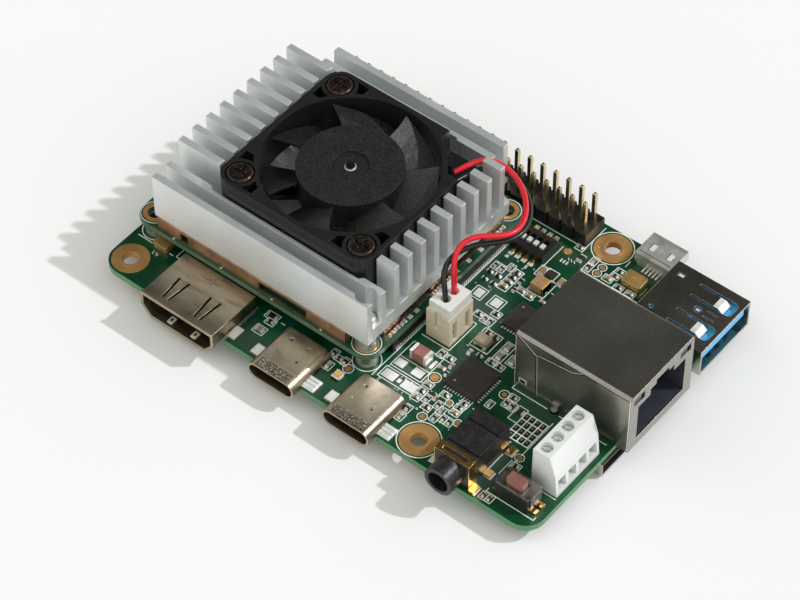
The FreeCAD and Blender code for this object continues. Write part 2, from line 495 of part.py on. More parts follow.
# ---- four way screw terminal: body, rising clamp cages, clamping screws
profile = [(79.4, 0), (79.5, 8.1), (82.5, 8.1), (83.7, 4.6), (84.1, 0)]
term = prism(profile, "y", TERM_Y0, TERM_Y1)
term_cuts = []
for y in term_y:
    term_cuts += [
        cyl(TERM_X, y, 6.2, 9, 0.98),
        cyl(TERM_X, y, 5, 7, 0.62),
        box(80.1, 82.5, y - 1.02, y + 1.02, 0.6, 5.9),
        box(79.7, 80.2, y - 0.35, y + 0.35, -1, 3.6),
        box(82.4, 85, y - 0.9, y + 0.9, 0.9, 3.2),
    ]
save("terminal_body", [cut(term, term_cuts)])
for k, y in enumerate(term_y):
    screw = fuse([cyl(TERM_X, y, 6.22, 7.2, 0.85), cyl(TERM_X, y, 3.6, 6.3, 0.5)])
    screw = screw.cut(box(TERM_X - 1, TERM_X + 1, y - 0.13, y + 0.13, 6.8, 8))
    save("terminal_screw_%d" % (k + 1), [screw])
    cage = box(80.2, 82.2, y - 0.95, y + 0.95, 0.8, 4.5).cut(box(79, 84, y - 0.65, y + 0.65, 1.2, 3.85))
    save("terminal_cage_%d" % (k + 1), [cage.cut(cyl(TERM_X, y, 3, 6, 0.55))])

# ---- four way slide switch
dip_x = [DIP_X + DIP_PITCH * (k - 1.5) for k in range(4)]
dip = box(48.1, 54.65, 43.0, 47.4, 0, 1.25)
dip = cut(dip, [box(x - 0.45, x + 0.45, 44.3, 46.4, 0.35, 3) for x in dip_x])
save("dip_body", [dip])
for k, x in enumerate(dip_x):
    knob = fuse([box(x - 0.41, x + 0.41, 44.35, 45.55, 0.4, 0.85),
                 box(x - 0.36, x + 0.36, 44.45, 45.35, 0.85, 1.5)])
    save("dip_slider_%d" % (k + 1), [knob])

# ---- forty pin header
base_h = box(7.1, 57.9, 49.96, 55.04, 0, 2.54)
notches = []
for i in range(1, 20):
    x = 7.1 + 2.54 * i
    notches.append(prism([(x - 0.45, 49.9), (x, 50.45), (x + 0.45, 49.9)], "z", -1, 4))
    notches.append(prism([(x - 0.45, 55.1), (x, 54.55), (x + 0.45, 55.1)], "z", -1, 4))
a = PIN_A / 2
notches += [box(x - a, x + a, y - a, y + a, -1, 4) for x, y in pin_xy]
save("gpio_header", [cut(base_h, notches)])


def square_pin(x, y, z0, z1, half, tip):
    body = box(x - half, x + half, y - half, y + half, z0, z1)
    ends = [e for e in body.Edges if e.BoundBox.ZLength < 1e-6 and e.BoundBox.ZMin > z1 - 1e-3]
    return body.makeChamfer(tip, ends)


save("gpio_pins", [square_pin(x, y, TAIL_Z, 8.53, a, 0.15) for x, y in pin_xy])

# ---- flat cable sockets on the underside, each with a flip latch
ffc = []
for name, x0, x1 in (("camera", 12.0, 30.0), ("display", 36.0, 54.0)):
    body = box(x0, x1, 12.6, 17.4, TAIL_Z, -BOARD_T)
    body = cut(body, [box(x0 + 1.0, x1 - 1.0, 12, 15.0, -3.1, -2.7),
                      box(x0 + 0.8, x1 - 0.8, 12, 14.6, -5, -3.05)])
    ffc.append(body)
    bar = fuse([box(x0 + 1.0, x1 - 1.0, 12.2, 13.9, -3.8, -3.15),
                cyl_along(vec(1, 0, 0), vec(x0 + 1.0, 13.9, -3.5), x1 - x0 - 2.0, 0.3)])
    save("ffc_latch_%s" % name, [bar])
save("ffc_sockets", ffc)

# ---- memory card socket on the underside, opening past the right edge
sd = box(70.5, 85.4, 17.2, 30.9, -3.55, -BOARD_T)
sd = sd.cut(box(70.8, 86, 17.5, 30.6, -3.3, -1))
save("sd_shell", [sd])
sd_base = box(70.8, 85.2, 17.5, 30.6, -1.95, -BOARD_T)
sd_base = fuse([sd_base, box(70.8, 71.8, 17.5, 30.6, -3.3, -1.9), box(70.8, 84.6, 17.5, 18.4, -3.3, -1.9)])
save("sd_base", [sd_base])
sd_slider = fuse([box(73.4, 80.0, 29.4, 30.5, -3.2, -2.05), box(73.4, 74.4, 28.2, 29.5, -3.2, -2.05)])
save("sd_slider", [sd_slider])

# ---- metal contacts, pins and solder tails
contacts = []
for y in term_y:
    contacts.append(fuse([box(79.75, 82.45, y - 0.28, y + 0.28, 3.25, 3.5),
                          box(79.75, 80.02, y - 0.28, y + 0.28, -0.5, 3.5),
                          box(79.72, 80.18, y - 0.23, y + 0.23, -2.9, 0)]))
for y in hdr_y:
    contacts.append(square_pin(51.65, y, -2.9, 5.6, 0.2, 0.08))
for x, y in rj_pins:
    contacts.append(box(x - 0.2, x + 0.2, y - 0.2, y + 0.2, -2.9, 1.55))
for i in range(8):
    y = 24.45 + 1.27 * i
    contacts.append(prism([(72.5, 7.6), (82.0, 4.6), (82.0, 4.3), (72.5, 7.3)], "y", y - 0.2, y + 0.2))
for i in range(19):
    x = 14.0 + 0.5 * i
    contacts.append(box(x - 0.12, x + 0.12, -0.8, 5.4, 0.38 if i % 2 else 1.5, 0.5 if i % 2 else 1.62))
for xc in USBC_C:
    for i in range(12):
        x = xc - 2.75 + 0.5 * i
        contacts.append(box(x - 0.12, x + 0.12, -0.4, 5.2, usbc_zc + 0.33, usbc_zc + 0.42))
        contacts.append(box(x - 0.12, x + 0.12, -0.4, 5.2, usbc_zc - 0.42, usbc_zc - 0.33))
for i in range(4):
    y = 43.0 + 2.3 * i
    contacts.append(box(77.4, 85.4, y - 0.5, y + 0.5, 2.3, 2.45))
for i in range(5):
    x = 68.0 + 0.65 * i
    contacts.append(box(x - 0.15, x + 0.15, 51.1, 52.2, 0, 0.2))
for x0, x1, y0, y1 in jack_leads:
    contacts.append(box(x0, x1, y0, y1, 0, 0.5))
for x in dip_x:
    contacts.append(box(x - 0.3, x + 0.3, 41.9, 43.0, 0, 0.35))
    contacts.append(box(x - 0.3, x + 0.3, 47.4, 48.4, 0, 0.35))
for y in (3.1, 4.6):
    contacts.append(box(82.6, 83.6, y, y + 0.9, 0, 0.3))
    contacts.append(box(75.6, 76.6, y, y + 0.9, 0, 0.3))
save("contacts_and_leads", contacts)

# ---- microphones, chips and larger passive parts on the carrier board
mics = []
for x0, x1, y0, y1 in ((66.6, 70.2, 47.3, 50.0), (4.5, 7.3, 7.6, 11.0)):
    can = rounded(x0, x1, y0, y1, 0, 1.1, 0.4)
    mics.append(can.cut(cyl((x0 + x1) / 2, (y0 + y1) / 2, 0.6, 2, 0.25)))
save("microphones", mics)
chips = [(57.8, 63.8, 14.2, 20.4, 0.9), (57.4, 62.5, 29.0, 34.3, 0.85), (56.6, 57.8, 41.0, 42.2, 0.7)]
save("chips", [box(a0, a1, b0, b1, 0, t) for a0, a1, b0, b1, t in chips])
passives = [(50.4, 53.6, 15.0, 17.0, 2.0), (56.3, 58.7, 23.4, 25.3, 1.2), (56.3, 58.8, 37.6, 40.0, 1.5),
            (43.5, 45.0, 4.5, 6.2, 0.6)]
save("passives", [box(a0, a1, b0, b1, 0, t) for a0, a1, b0, b1, t in passives])
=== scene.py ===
import json
import math
import random

import bmesh
import bpy
from mathutils import Matrix, Vector

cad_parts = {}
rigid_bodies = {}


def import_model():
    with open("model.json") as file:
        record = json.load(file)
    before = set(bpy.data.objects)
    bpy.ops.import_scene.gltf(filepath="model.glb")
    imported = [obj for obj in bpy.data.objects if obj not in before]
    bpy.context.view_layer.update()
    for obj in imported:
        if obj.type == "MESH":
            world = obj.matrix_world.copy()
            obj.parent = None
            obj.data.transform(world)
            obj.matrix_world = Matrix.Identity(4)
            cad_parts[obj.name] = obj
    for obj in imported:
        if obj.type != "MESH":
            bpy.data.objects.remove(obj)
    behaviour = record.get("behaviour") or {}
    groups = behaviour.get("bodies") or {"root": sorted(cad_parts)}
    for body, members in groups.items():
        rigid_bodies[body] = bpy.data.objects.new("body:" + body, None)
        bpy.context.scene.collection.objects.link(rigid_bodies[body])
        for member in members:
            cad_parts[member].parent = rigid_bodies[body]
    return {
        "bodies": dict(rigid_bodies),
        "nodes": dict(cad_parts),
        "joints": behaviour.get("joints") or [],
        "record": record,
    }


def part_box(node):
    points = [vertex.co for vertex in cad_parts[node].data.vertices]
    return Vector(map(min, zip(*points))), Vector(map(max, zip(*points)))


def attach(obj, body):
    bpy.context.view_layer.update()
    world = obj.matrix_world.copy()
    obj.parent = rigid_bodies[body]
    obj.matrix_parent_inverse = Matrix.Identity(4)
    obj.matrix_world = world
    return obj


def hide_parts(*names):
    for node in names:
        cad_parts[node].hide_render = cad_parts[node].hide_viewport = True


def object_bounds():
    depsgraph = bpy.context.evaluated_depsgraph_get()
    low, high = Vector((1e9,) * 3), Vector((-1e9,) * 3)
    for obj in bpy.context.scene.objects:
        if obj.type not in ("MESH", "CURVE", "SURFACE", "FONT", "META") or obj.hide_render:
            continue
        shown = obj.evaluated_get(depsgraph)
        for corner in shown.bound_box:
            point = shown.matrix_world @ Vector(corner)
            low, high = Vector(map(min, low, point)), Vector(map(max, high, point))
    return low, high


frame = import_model()
cad_box = [list(corner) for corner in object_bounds()]
random.seed(11)
MM = 0.001

# Board coordinates in millimetres: x from the board's left edge, y from its front edge, z up from
# its top face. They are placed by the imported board's own box.
board_low, board_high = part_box("main_pcb")
ORIGIN = Vector((board_low[0], board_low[1], board_high[2]))


def place(x, y, z):
    return ORIGIN + Vector((x, y, z)) * MM


# ---------------------------------------------------------------- camera
AZIMUTH, ELEVATION, ROLL, DISTANCE = math.radians(39.08), math.radians(49.26), math.radians(-0.33), 475.4
target = place(42.0, 23.2, 0.0)
to_camera = Vector((math.sin(AZIMUTH) * math.cos(ELEVATION), -math.cos(AZIMUTH) * math.cos(ELEVATION),
                    math.sin(ELEVATION)))
right = Vector((math.cos(AZIMUTH), math.sin(AZIMUTH), 0.0))
up = to_camera.cross(right)
right_r = right * math.cos(ROLL) + up * math.sin(ROLL)
up_r = up * math.cos(ROLL) - right * math.sin(ROLL)
camera_data = bpy.data.cameras.new("camera")
camera_data.sensor_width = 36.0
camera_data.lens = 137.7
camera_data.clip_start = 0.01
camera_data.clip_end = 20.0
camera = bpy.data.objects.new("camera", camera_data)
bpy.context.scene.collection.objects.link(camera)
camera_matrix = Matrix((right_r, up_r, to_camera)).transposed().to_4x4()
camera_matrix.translation = target + to_camera * DISTANCE * MM
camera.matrix_world = camera_matrix
bpy.context.scene.camera = camera


# ---------------------------------------------------------------- materials
def new_material(name):
    m = bpy.data.materials.new(name)
    m.use_nodes = True
    m.node_tree.nodes.clear()
    return m, m.node_tree.nodes, m.node_tree.links


def srgb(r, g, b):
    """8-bit display colour to scene linear."""
    out = []
    for c in (r, g, b):
        c = c / 255.0
        out.append(c / 12.92 if c <= 0.04045 else ((c + 0.055) / 1.055) ** 2.4)
    return (out[0], out[1], out[2], 1.0)


def surface(name, color, rough=0.5, metal=0.0, mottle=(250.0, 0.12), grain=(6000.0, 0.1), rough_var=0.08,
            edge=0.0, second=None, second_scale=900.0, second_amount=0.3, stretch=(1.0, 1.0, 1.0), coat=0.0,
            specular=0.5):
    """Principled surface with mottled colour, uneven gloss, fine grain and softened edges."""
    m, nodes, links = new_material(name)
    out = nodes.new("ShaderNodeOutputMaterial")
    shader = nodes.new("ShaderNodeBsdfPrincipled")
    links.new(shader.outputs["BSDF"], out.inputs["Surface"])
    coord = nodes.new("ShaderNodeTexCoord")
    mapping = nodes.new("ShaderNodeMapping")
    mapping.inputs["Scale"].default_value = stretch
    links.new(coord.outputs["Object"], mapping.inputs["Vector"])
    wide = nodes.new("ShaderNodeTexNoise")
    wide.inputs["Scale"].default_value = mottle[0]
    wide.inputs["Detail"].default_value = 4.0
    links.new(mapping.outputs["Vector"], wide.inputs["Vector"])
    ramp = nodes.new("ShaderNodeMixRGB")
    ramp.inputs["Color1"].default_value = [c * (1.0 - mottle[1]) for c in color[:3]] + [1.0]
    ramp.inputs["Color2"].default_value = [min(1.0, c * (1.0 + mottle[1])) for c in color[:3]] + [1.0]
    spread = nodes.new("ShaderNodeMapRange")
    spread.inputs["From Min"].default_value = 0.3
    spread.inputs["From Max"].default_value = 0.7
    links.new(wide.outputs["Fac"], spread.inputs["Value"])
    links.new(spread.outputs["Result"], ramp.inputs["Fac"])
    base = ramp.outputs["Color"]
    if second is not None:
        spots = nodes.new("ShaderNodeTexNoise")
        spots.inputs["Scale"].default_value = second_scale
        spots.inputs["Detail"].default_value = 3.0
        links.new(mapping.outputs["Vector"], spots.inputs["Vector"])
        limit = nodes.new("ShaderNodeMapRange")
        limit.inputs["From Min"].default_value = 0.5
        limit.inputs["From Max"].default_value = 0.68
        limit.inputs["To Max"].default_value = second_amount
        links.new(spots.outputs["Fac"], limit.inputs["Value"])
        blend = nodes.new("ShaderNodeMixRGB")
        blend.inputs["Color2"].default_value = second
        links.new(limit.outputs["Result"], blend.inputs["Fac"])
        links.new(base, blend.inputs["Color1"])
        base = blend.outputs["Color"]
    links.new(base, shader.inputs["Base Color"])
    gloss = nodes.new("ShaderNodeMapRange")
    gloss.inputs["To Min"].default_value = max(0.02, rough - rough_var)
    gloss.inputs["To Max"].default_value = min(1.0, rough + rough_var)
    links.new(wide.outputs["Fac"], gloss.inputs["Value"])
    links.new(gloss.outputs["Result"], shader.inputs["Roughness"])
    shader.inputs["Metallic"].default_value = metal
    shader.inputs["Specular IOR Level"].default_value = specular
    if coat > 0.0:
        shader.inputs["Coat Weight"].default_value = coat
        shader.inputs["Coat Roughness"].default_value = 0.12
    fine = nodes.new("ShaderNodeTexNoise")
    fine.inputs["Scale"].default_value = grain[0]
    fine.inputs["Detail"].default_value = 2.0
    links.new(mapping.outputs["Vector"], fine.inputs["Vector"])
    bump = nodes.new("ShaderNodeBump")
    bump.inputs["Strength"].default_value = grain[1]
    bump.inputs["Distance"].default_value = 0.00008
    links.new(fine.outputs["Fac"], bump.inputs["Height"])
    if edge > 0.0:
        soft = nodes.new("ShaderNodeBevel")
        soft.samples = 4
        soft.inputs["Radius"].default_value = edge * MM
        links.new(soft.outputs["Normal"], bump.inputs["Normal"])
    links.new(bump.outputs["Normal"], shader.inputs["Normal"])
    return m


GREEN = srgb(2, 66, 38)
mats = {
    "carrier_board": surface("solder_mask", GREEN, 0.3, 0.0, (180.0, 0.3), (2500.0, 0.05),
                             second=srgb(10, 98, 60), second_scale=150.0, second_amount=0.6, coat=0.1),
    "module_board": surface("solder_mask_module", srgb(22, 78, 52), 0.34, 0.0, (260.0, 0.2), (2500.0, 0.05),
                            second=srgb(60, 96, 76), second_scale=600.0, second_amount=0.5, coat=0.1),
    "heatsink": surface("blasted_aluminium", srgb(230, 234, 234), 0.46, 0.78, (160.0, 0.05), (4200.0, 0.4),
                        0.05, edge=0.12, second=srgb(240, 242, 240), second_scale=5200.0, second_amount=0.35),
    "fan_plastic": surface("fan_frame_plastic", srgb(23, 23, 23), 0.4, 0.0, (300.0, 0.15), (5200.0, 0.25),
                           edge=0.1),
    "rotor_plastic": surface("rotor_plastic", srgb(20, 20, 20), 0.44, 0.0, (700.0, 0.2), (3800.0, 0.8),
                             second=srgb(74, 74, 72), second_scale=3400.0, second_amount=0.35, edge=0.12),
    "black_resin": surface("black_resin", srgb(13, 13, 13), 0.42, 0.0, (400.0, 0.2), (5000.0, 0.3),
                           edge=0.05),
    "chip": surface("chip_epoxy", srgb(48, 43, 40), 0.46, 0.0, (600.0, 0.18), (7000.0, 0.5), edge=0.05,
                    second=srgb(66, 60, 56), second_scale=2600.0, second_amount=0.4),
    "thermal_pad": surface("thermal_pad", srgb(150, 155, 160), 0.8, 0.0, (500.0, 0.1), (4000.0, 0.3)),
    "standoff_steel": surface("standoff_steel", srgb(200, 200, 192), 0.34, 1.0, (500.0, 0.08), (4000.0, 0.03),
                              edge=0.1),
    "shield": surface("shield_copper", srgb(176, 142, 116), 0.34, 0.9, (220.0, 0.25), (3000.0, 0.2),
                      second=srgb(96, 84, 72), second_scale=420.0, second_amount=0.6),
    "screw_steel": surface("screw_steel", srgb(232, 233, 230), 0.3, 0.55, (600.0, 0.15), (4000.0, 0.15),
                           edge=0.06),
    "screw_black": surface("screw_black", srgb(52, 46, 43), 0.28, 0.8, (900.0, 0.3), (4000.0, 0.3), edge=0.1,
                           second=srgb(150, 104, 80), second_scale=1500.0, second_amount=0.35),
    "magnet": surface("magnet", srgb(46, 46, 48), 0.6, 0.2),
    "stator": surface("stator", srgb(130, 80, 44), 0.45, 0.6, (900.0, 0.3), (6000.0, 0.6)),
    "shaft_steel": surface("shaft_steel", srgb(90, 88, 86), 0.25, 1.0),
    "brass": surface("brass", srgb(180, 140, 80), 0.3, 1.0),
    "red_lead": surface("red_lead", srgb(222, 22, 42), 0.32, 0.0, (400.0, 0.12), (2000.0, 0.1), coat=0.15),
    "black_lead": surface("black_lead", srgb(22, 21, 21), 0.34, 0.0, (400.0, 0.2), (2000.0, 0.1), coat=0.15),
    "cream_plastic": surface("cream_nylon", srgb(233, 221, 192), 0.42, 0.0, (260.0, 0.05), (3000.0, 0.15),
                             edge=0.1),
    "socket_shell": surface("stamped_steel", srgb(176, 162, 140), 0.32, 1.0, (140.0, 0.16), (1800.0, 0.14),
                            stretch=(1.0, 4.0, 1.0), edge=0.16, second=srgb(122, 110, 92), second_scale=220.0,
                            second_amount=0.6),
    "usb_c_shell": surface("stamped_steel_c", srgb(184, 170, 148), 0.3, 1.0, (200.0, 0.14), (2600.0, 0.18),
                           edge=0.16,
                           second=srgb(138, 126, 108), second_scale=260.0, second_amount=0.5),
    "usb_a_shell": surface("bright_steel", srgb(198, 192, 180), 0.18, 1.0, (120.0, 0.2), (1500.0, 0.12),
                           edge=0.12,
                           second=srgb(138, 130, 116), second_scale=2600.0, second_amount=0.45),
    "ethernet_shell": surface("tin_plate", srgb(168, 165, 156), 0.3, 1.0, (110.0, 0.06), (3600.0, 0.05), 0.05,
                              edge=0.14,
                              second=srgb(140, 137, 128), second_scale=3000.0, second_amount=0.6),
    "card_shell": surface("card_shell", srgb(180, 174, 164), 0.3, 1.0, (200.0, 0.15), (2000.0, 0.12)),
    "socket_insert": surface("socket_insert", srgb(24, 23, 23), 0.5),
    "ethernet_insert": surface("ethernet_insert", srgb(54, 58, 68), 0.4, edge=0.1),
    "blue_plastic": surface("blue_plastic", srgb(84, 184, 246), 0.32, 0.0, (300.0, 0.1), (3000.0, 0.15),
                            edge=0.08),
    "gold": surface("contact_gold", srgb(232, 190, 122), 0.22, 1.0, (500.0, 0.12), (3000.0, 0.12), edge=0.06,
                    second=srgb(150, 104, 52), second_scale=900.0, second_amount=0.4),
    "pin_gold": surface("pin_gold", srgb(214, 200, 158), 0.2, 1.0, (700.0, 0.2), (4000.0, 0.1), edge=0.06),
    "jack_plastic": surface("jack_plastic", srgb(34, 33, 33), 0.36, 0.0, (700.0, 0.3), (1700.0, 1.0),
                            edge=0.1,
                            second=srgb(60, 58, 57), second_scale=1500.0, second_amount=0.4),
    "switch_base": surface("switch_base", srgb(20, 19, 19), 0.42, edge=0.06),
    "switch_cover": surface("switch_cover", srgb(150, 146, 140), 0.3, 0.9, edge=0.08,
                            second=srgb(70, 66, 62), second_scale=900.0, second_amount=0.6),
    "plunger": surface("plunger", srgb(140, 96, 84), 0.4, 0.0, (500.0, 0.15), (4000.0, 0.3), edge=0.12),
    "terminal_plastic": surface("terminal_plastic", srgb(226, 229, 226), 0.42, 0.0, (200.0, 0.05),
                                (2500.0, 0.15),
                                edge=0.12),
    "cage_steel": surface("cage_steel", srgb(190, 190, 186), 0.3, 1.0),
    "dip_plastic": surface("dip_plastic", srgb(26, 26, 27), 0.42, edge=0.05),
    "dip_knob": surface("dip_knob", srgb(232, 232, 226), 0.4, edge=0.05),
    "ffc_plastic": surface("ffc_plastic", srgb(214, 206, 188), 0.5, edge=0.08),
    "latch_plastic": surface("latch_plastic", srgb(36, 36, 36), 0.5, edge=0.05),
    "can_gold": surface("can_gold", srgb(240, 196, 126), 0.3, 0.75, (500.0, 0.15), (2500.0, 0.08), edge=0.15),
    "passive": surface("ceramic_tan", srgb(150, 122, 98), 0.45, 0.0, (700.0, 0.15), (4000.0, 0.3), edge=0.08),
}


def bare_edges(material, color):
    """Shows the laminate, without its solder mask, wherever the board's surface is upright."""
    nodes, links = material.node_tree.nodes, material.node_tree.links
    shader = next(n for n in nodes if n.type == "BSDF_PRINCIPLED")
    faces = nodes.new("ShaderNodeNewGeometry")
    parts = nodes.new("ShaderNodeSeparateXYZ")
    links.new(faces.outputs["True Normal"], parts.inputs["Vector"])
    upright = nodes.new("ShaderNodeMath")
    upright.operation = "ABSOLUTE"
    links.new(parts.outputs["Z"], upright.inputs[0])
    blend = nodes.new("ShaderNodeMixRGB")
    blend.inputs["Color1"].default_value = color
    links.new(upright.outputs["Value"], blend.inputs["Fac"])
    links.new(shader.inputs["Base Color"].links[0].from_socket, blend.inputs["Color2"])
    links.new(blend.outputs["Color"], shader.inputs["Base Color"])


bare_edges(mats["carrier_board"], srgb(74, 132, 84))
bare_edges(mats["module_board"], srgb(84, 108, 84))
slot_of = {entry["node"]: entry["material_slot"] for entry in frame["record"]["subparts"]}
of_node = {
    "micro_usb_shell": surface("bright_shell", srgb(228, 228, 222), 0.34, 0.7, (260.0, 0.12), (1800.0, 0.3),
                               edge=0.12,
                               second=srgb(168, 168, 160), second_scale=420.0, second_amount=0.6),
    "fan_plug": surface("white_nylon", srgb(238, 237, 230), 0.36, 0.0, (260.0, 0.04), (3000.0, 0.15),
                        edge=0.1),
}
for node, obj in frame["nodes"].items():
    obj.data.materials.clear()
    obj.data.materials.append(of_node.get(node, mats[slot_of[node]]))

# ---------------------------------------------------------------- fan leads
# Each route runs from the fan's frame over the fins to the plug, in board coordinates.
RED_ROUTE = [
    (40.9, 37.9, 16.0), (41.9, 40.3, 16.4), (43.0, 42.2, 16.6), (44.9, 43.4, 16.5), (47.2, 43.6, 16.1),
    (49.6, 43.0, 15.6), (52.0, 41.5, 15.1), (54.0, 39.2, 14.7), (55.1, 36.5, 14.5), (54.8, 34.0, 14.6),
    (53.1, 32.0, 14.9), (51.3, 30.2, 15.2), (50.4, 27.9, 15.1), (50.5, 26.0, 14.1), (51.2, 24.8, 12.3),
    (51.65, 24.4, 9.9), (51.65, 24.4, 7.5),
]
BLACK_ROUTE = [
    (41.7, 37.2, 15.0), (42.2, 39.6, 14.9), (42.9, 41.9, 14.8), (44.7, 43.5, 14.7), (47.3, 43.9, 14.5),
    (49.8, 43.6, 14.2), (52.2, 42.3, 13.7), (54.2, 40.1, 13.3), (55.3, 37.3, 13.1), (54.9, 34.6, 13.1),
    (53.3, 32.3, 13.3), (51.4, 30.2, 13.4), (50.1, 27.8, 13.2), (49.6, 25.4, 12.6), (50.2, 23.5, 11.4),
    (51.25, 22.6, 9.7), (51.65, 22.4, 7.5),
]
LEAD_D = 0.9  # outside diameter of a lead


def lead(name, route, node):
    curve = bpy.data.curves.new(name, "CURVE")
    curve.dimensions = "3D"
    spline = curve.splines.new("NURBS")
    spline.points.add(len(route) - 1)
    for point, (x, y, z) in zip(spline.points, route):
        p = place(x, y, z)
        point.co = (p.x, p.y, p.z, 1.0)
    spline.order_u = 3
    spline.use_endpoint_u = True
    spline.resolution_u = 12
    curve.bevel_depth = LEAD_D / 2 * MM
    curve.bevel_resolution = 6
    curve.use_fill_caps = True
    obj = bpy.data.objects.new(name, curve)
    bpy.context.scene.collection.objects.link(obj)
    curve.materials.append(mats[slot_of[node]])
    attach(obj, "board")
    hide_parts(node)


lead("fan_lead_red", RED_ROUTE, "fan_wire_red")
lead("fan_lead_black", BLACK_ROUTE, "fan_wire_black")


# ---------------------------------------------------------------- mesh helpers
def box_mesh(bm, x0, x1, y0, y1, z0, z1, index=0):
    low, high = place(x0, y0, z0), place(x1, y1, z1)
    made = bmesh.ops.create_cube(bm, size=1.0)["verts"]
    for v in made:
        v.co = Vector([low[i] + (v.co[i] + 0.5) * (high[i] - low[i]) for i in range(3)])
    for f in {f for v in made for f in v.link_faces}:
        f.material_index = index


def prism_mesh(bm, points, z0, z1, index=0):
    bottom = [bm.verts.new(place(x, y, z0)) for x, y in points]
    top = [bm.verts.new(place(x, y, z1)) for x, y in points]
    count = len(points)
    faces = [bm.faces.new(top), bm.faces.new(bottom[::-1])]
    for i in range(count):
        j = (i + 1) % count
        faces.append(bm.faces.new((bottom[i], bottom[j], top[j], top[i])))
    for f in faces:
        f.material_index = index


def disc_points(x, y, r, count=28, start=0.0):
    return [(x + r * math.cos(start + 2 * math.pi * i / count),
             y + r * math.sin(start + 2 * math.pi * i / count))
            for i in range(count)]


def ring_mesh(bm, x, y, r_out, r_in, z0, z1, count=48, index=0):
    loops = []
    for r, z in ((r_out, z0), (r_out, z1), (r_in, z1), (r_in, z0)):
        loops.append([bm.verts.new(place(px, py, z)) for px, py in disc_points(x, y, r, count)])
    for a in range(4):
        b = (a + 1) % 4
        for i in range(count):
            j = (i + 1) % count
            f = bm.faces.new((loops[a][i], loops[a][j], loops[b][j], loops[b][i]))
            f.material_index = index


def finish_piece(name, bm, materials, body="board", bevel=0.0):
    bmesh.ops.recalc_face_normals(bm, faces=bm.faces)
    data = bpy.data.meshes.new(name)
    bm.to_mesh(data)
    bm.free()
    for m in materials:
        data.materials.append(m)
    obj = bpy.data.objects.new(name, data)
    bpy.context.scene.collection.objects.link(obj)
    if bevel > 0.0:
        mod = obj.modifiers.new("edges", "BEVEL")
        mod.width = bevel * MM
        mod.segments = 2
        mod.limit_method = "ANGLE"
    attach(obj, body)
    return obj


white_ink = surface("white_ink", srgb(244, 247, 240), 0.55, 0.0, (500.0, 0.06), (3000.0, 0.1))
gold_pad = surface("gold_pad", srgb(214, 166, 104), 0.3, 0.55, (300.0, 0.12), (2500.0, 0.15), edge=0.08,
                   second=srgb(176, 126, 70), second_scale=260.0, second_amount=0.5)
solder = surface("solder", srgb(240, 241, 236), 0.3, 0.35, (900.0, 0.08), (2200.0, 0.2), edge=0.08)
cap_metal = surface("cap_metal", srgb(226, 222, 214), 0.3, 0.5, (900.0, 0.12), (3000.0, 0.3), edge=0.05)
tan_ceramic = surface("tan_ceramic", srgb(168, 134, 96), 0.42, 0.0, (900.0, 0.2), (4000.0, 0.3), edge=0.05)
black_ceramic = surface("black_ceramic", srgb(30, 28, 28), 0.38, 0.0, (900.0, 0.25), (4000.0, 0.3), edge=0.05)
grey_ceramic = surface("grey_ceramic", srgb(150, 146, 138), 0.42, 0.0, (900.0, 0.2), (4000.0, 0.3), edge=0.05)
pink_ceramic = surface("pink_ceramic", srgb(158, 106, 96), 0.46, 0.0, (700.0, 0.15), (4000.0, 0.3), edge=0.08)
inductor_resin = surface("inductor_resin", srgb(160, 146, 124), 0.5, 0.0, (700.0, 0.2), (3000.0, 0.4),
                         edge=0.1)
amber = surface("amber", srgb(222, 176, 84), 0.25, 0.0, (900.0, 0.15), (3000.0, 0.15), coat=0.4)
white_body = surface("white_body", srgb(236, 232, 214), 0.4, 0.0, (600.0, 0.05), (3000.0, 0.1))
INK = 0.02  # least thickness of the printed ink
INK_SPREAD = 0.008  # keeps crossing strokes off one plane


def ink_line(bm, x0, y0, x1, y1, width=0.16, z=0.0):
    d = Vector((x1 - x0, y1 - y0))
    n = Vector((-d.y, d.x)).normalized() * width / 2
    prism_mesh(bm, [(x0 + n.x, y0 + n.y), (x0 - n.x, y0 - n.y), (x1 - n.x, y1 - n.y), (x1 + n.x, y1 + n.y)],
               z, z + INK + random.uniform(0.0, INK_SPREAD))


def ink_frame(bm, x0, x1, y0, y1, width=0.16, z=0.0):
    ink_line(bm, x0, y0, x1, y0, width, z)
    ink_line(bm, x0, y1, x1, y1, width, z)
    ink_line(bm, x0, y0, x0, y1, width, z)
    ink_line(bm, x1, y0, x1, y1, width, z)


# ---------------------------------------------------------------- board rings and ink
HOLES = [(3.5, 3.5), (61.5, 3.5), (61.5, 52.5), (3.5, 52.5)]
MODULE_HOLES = [(2.6, 10.65), (45.65, 10.65), (45.65, 45.6), (2.6, 45.6)]
BOTTOM = -1.2
MODULE_TOP = 4.0
USB_C_X = (36.7, 51.4)
bm = bmesh.new()
for x, y in HOLES:
    ring_mesh(bm, x, y, 3.1, 1.36, 0.0, 0.035)
    ring_mesh(bm, x, y, 3.1, 1.36, BOTTOM - 0.035, BOTTOM)
    ring_mesh(bm, x, y, 1.37, 1.33, BOTTOM, 0.0)
    ring_mesh(bm, x, y, 1.78, 1.36, 0.035, 0.1)
for x, y in MODULE_HOLES:
    ring_mesh(bm, x, y, 1.95, 1.22, MODULE_TOP, MODULE_TOP + 0.03)
finish_piece("mounting_rings", bm, [gold_pad], bevel=0.02)


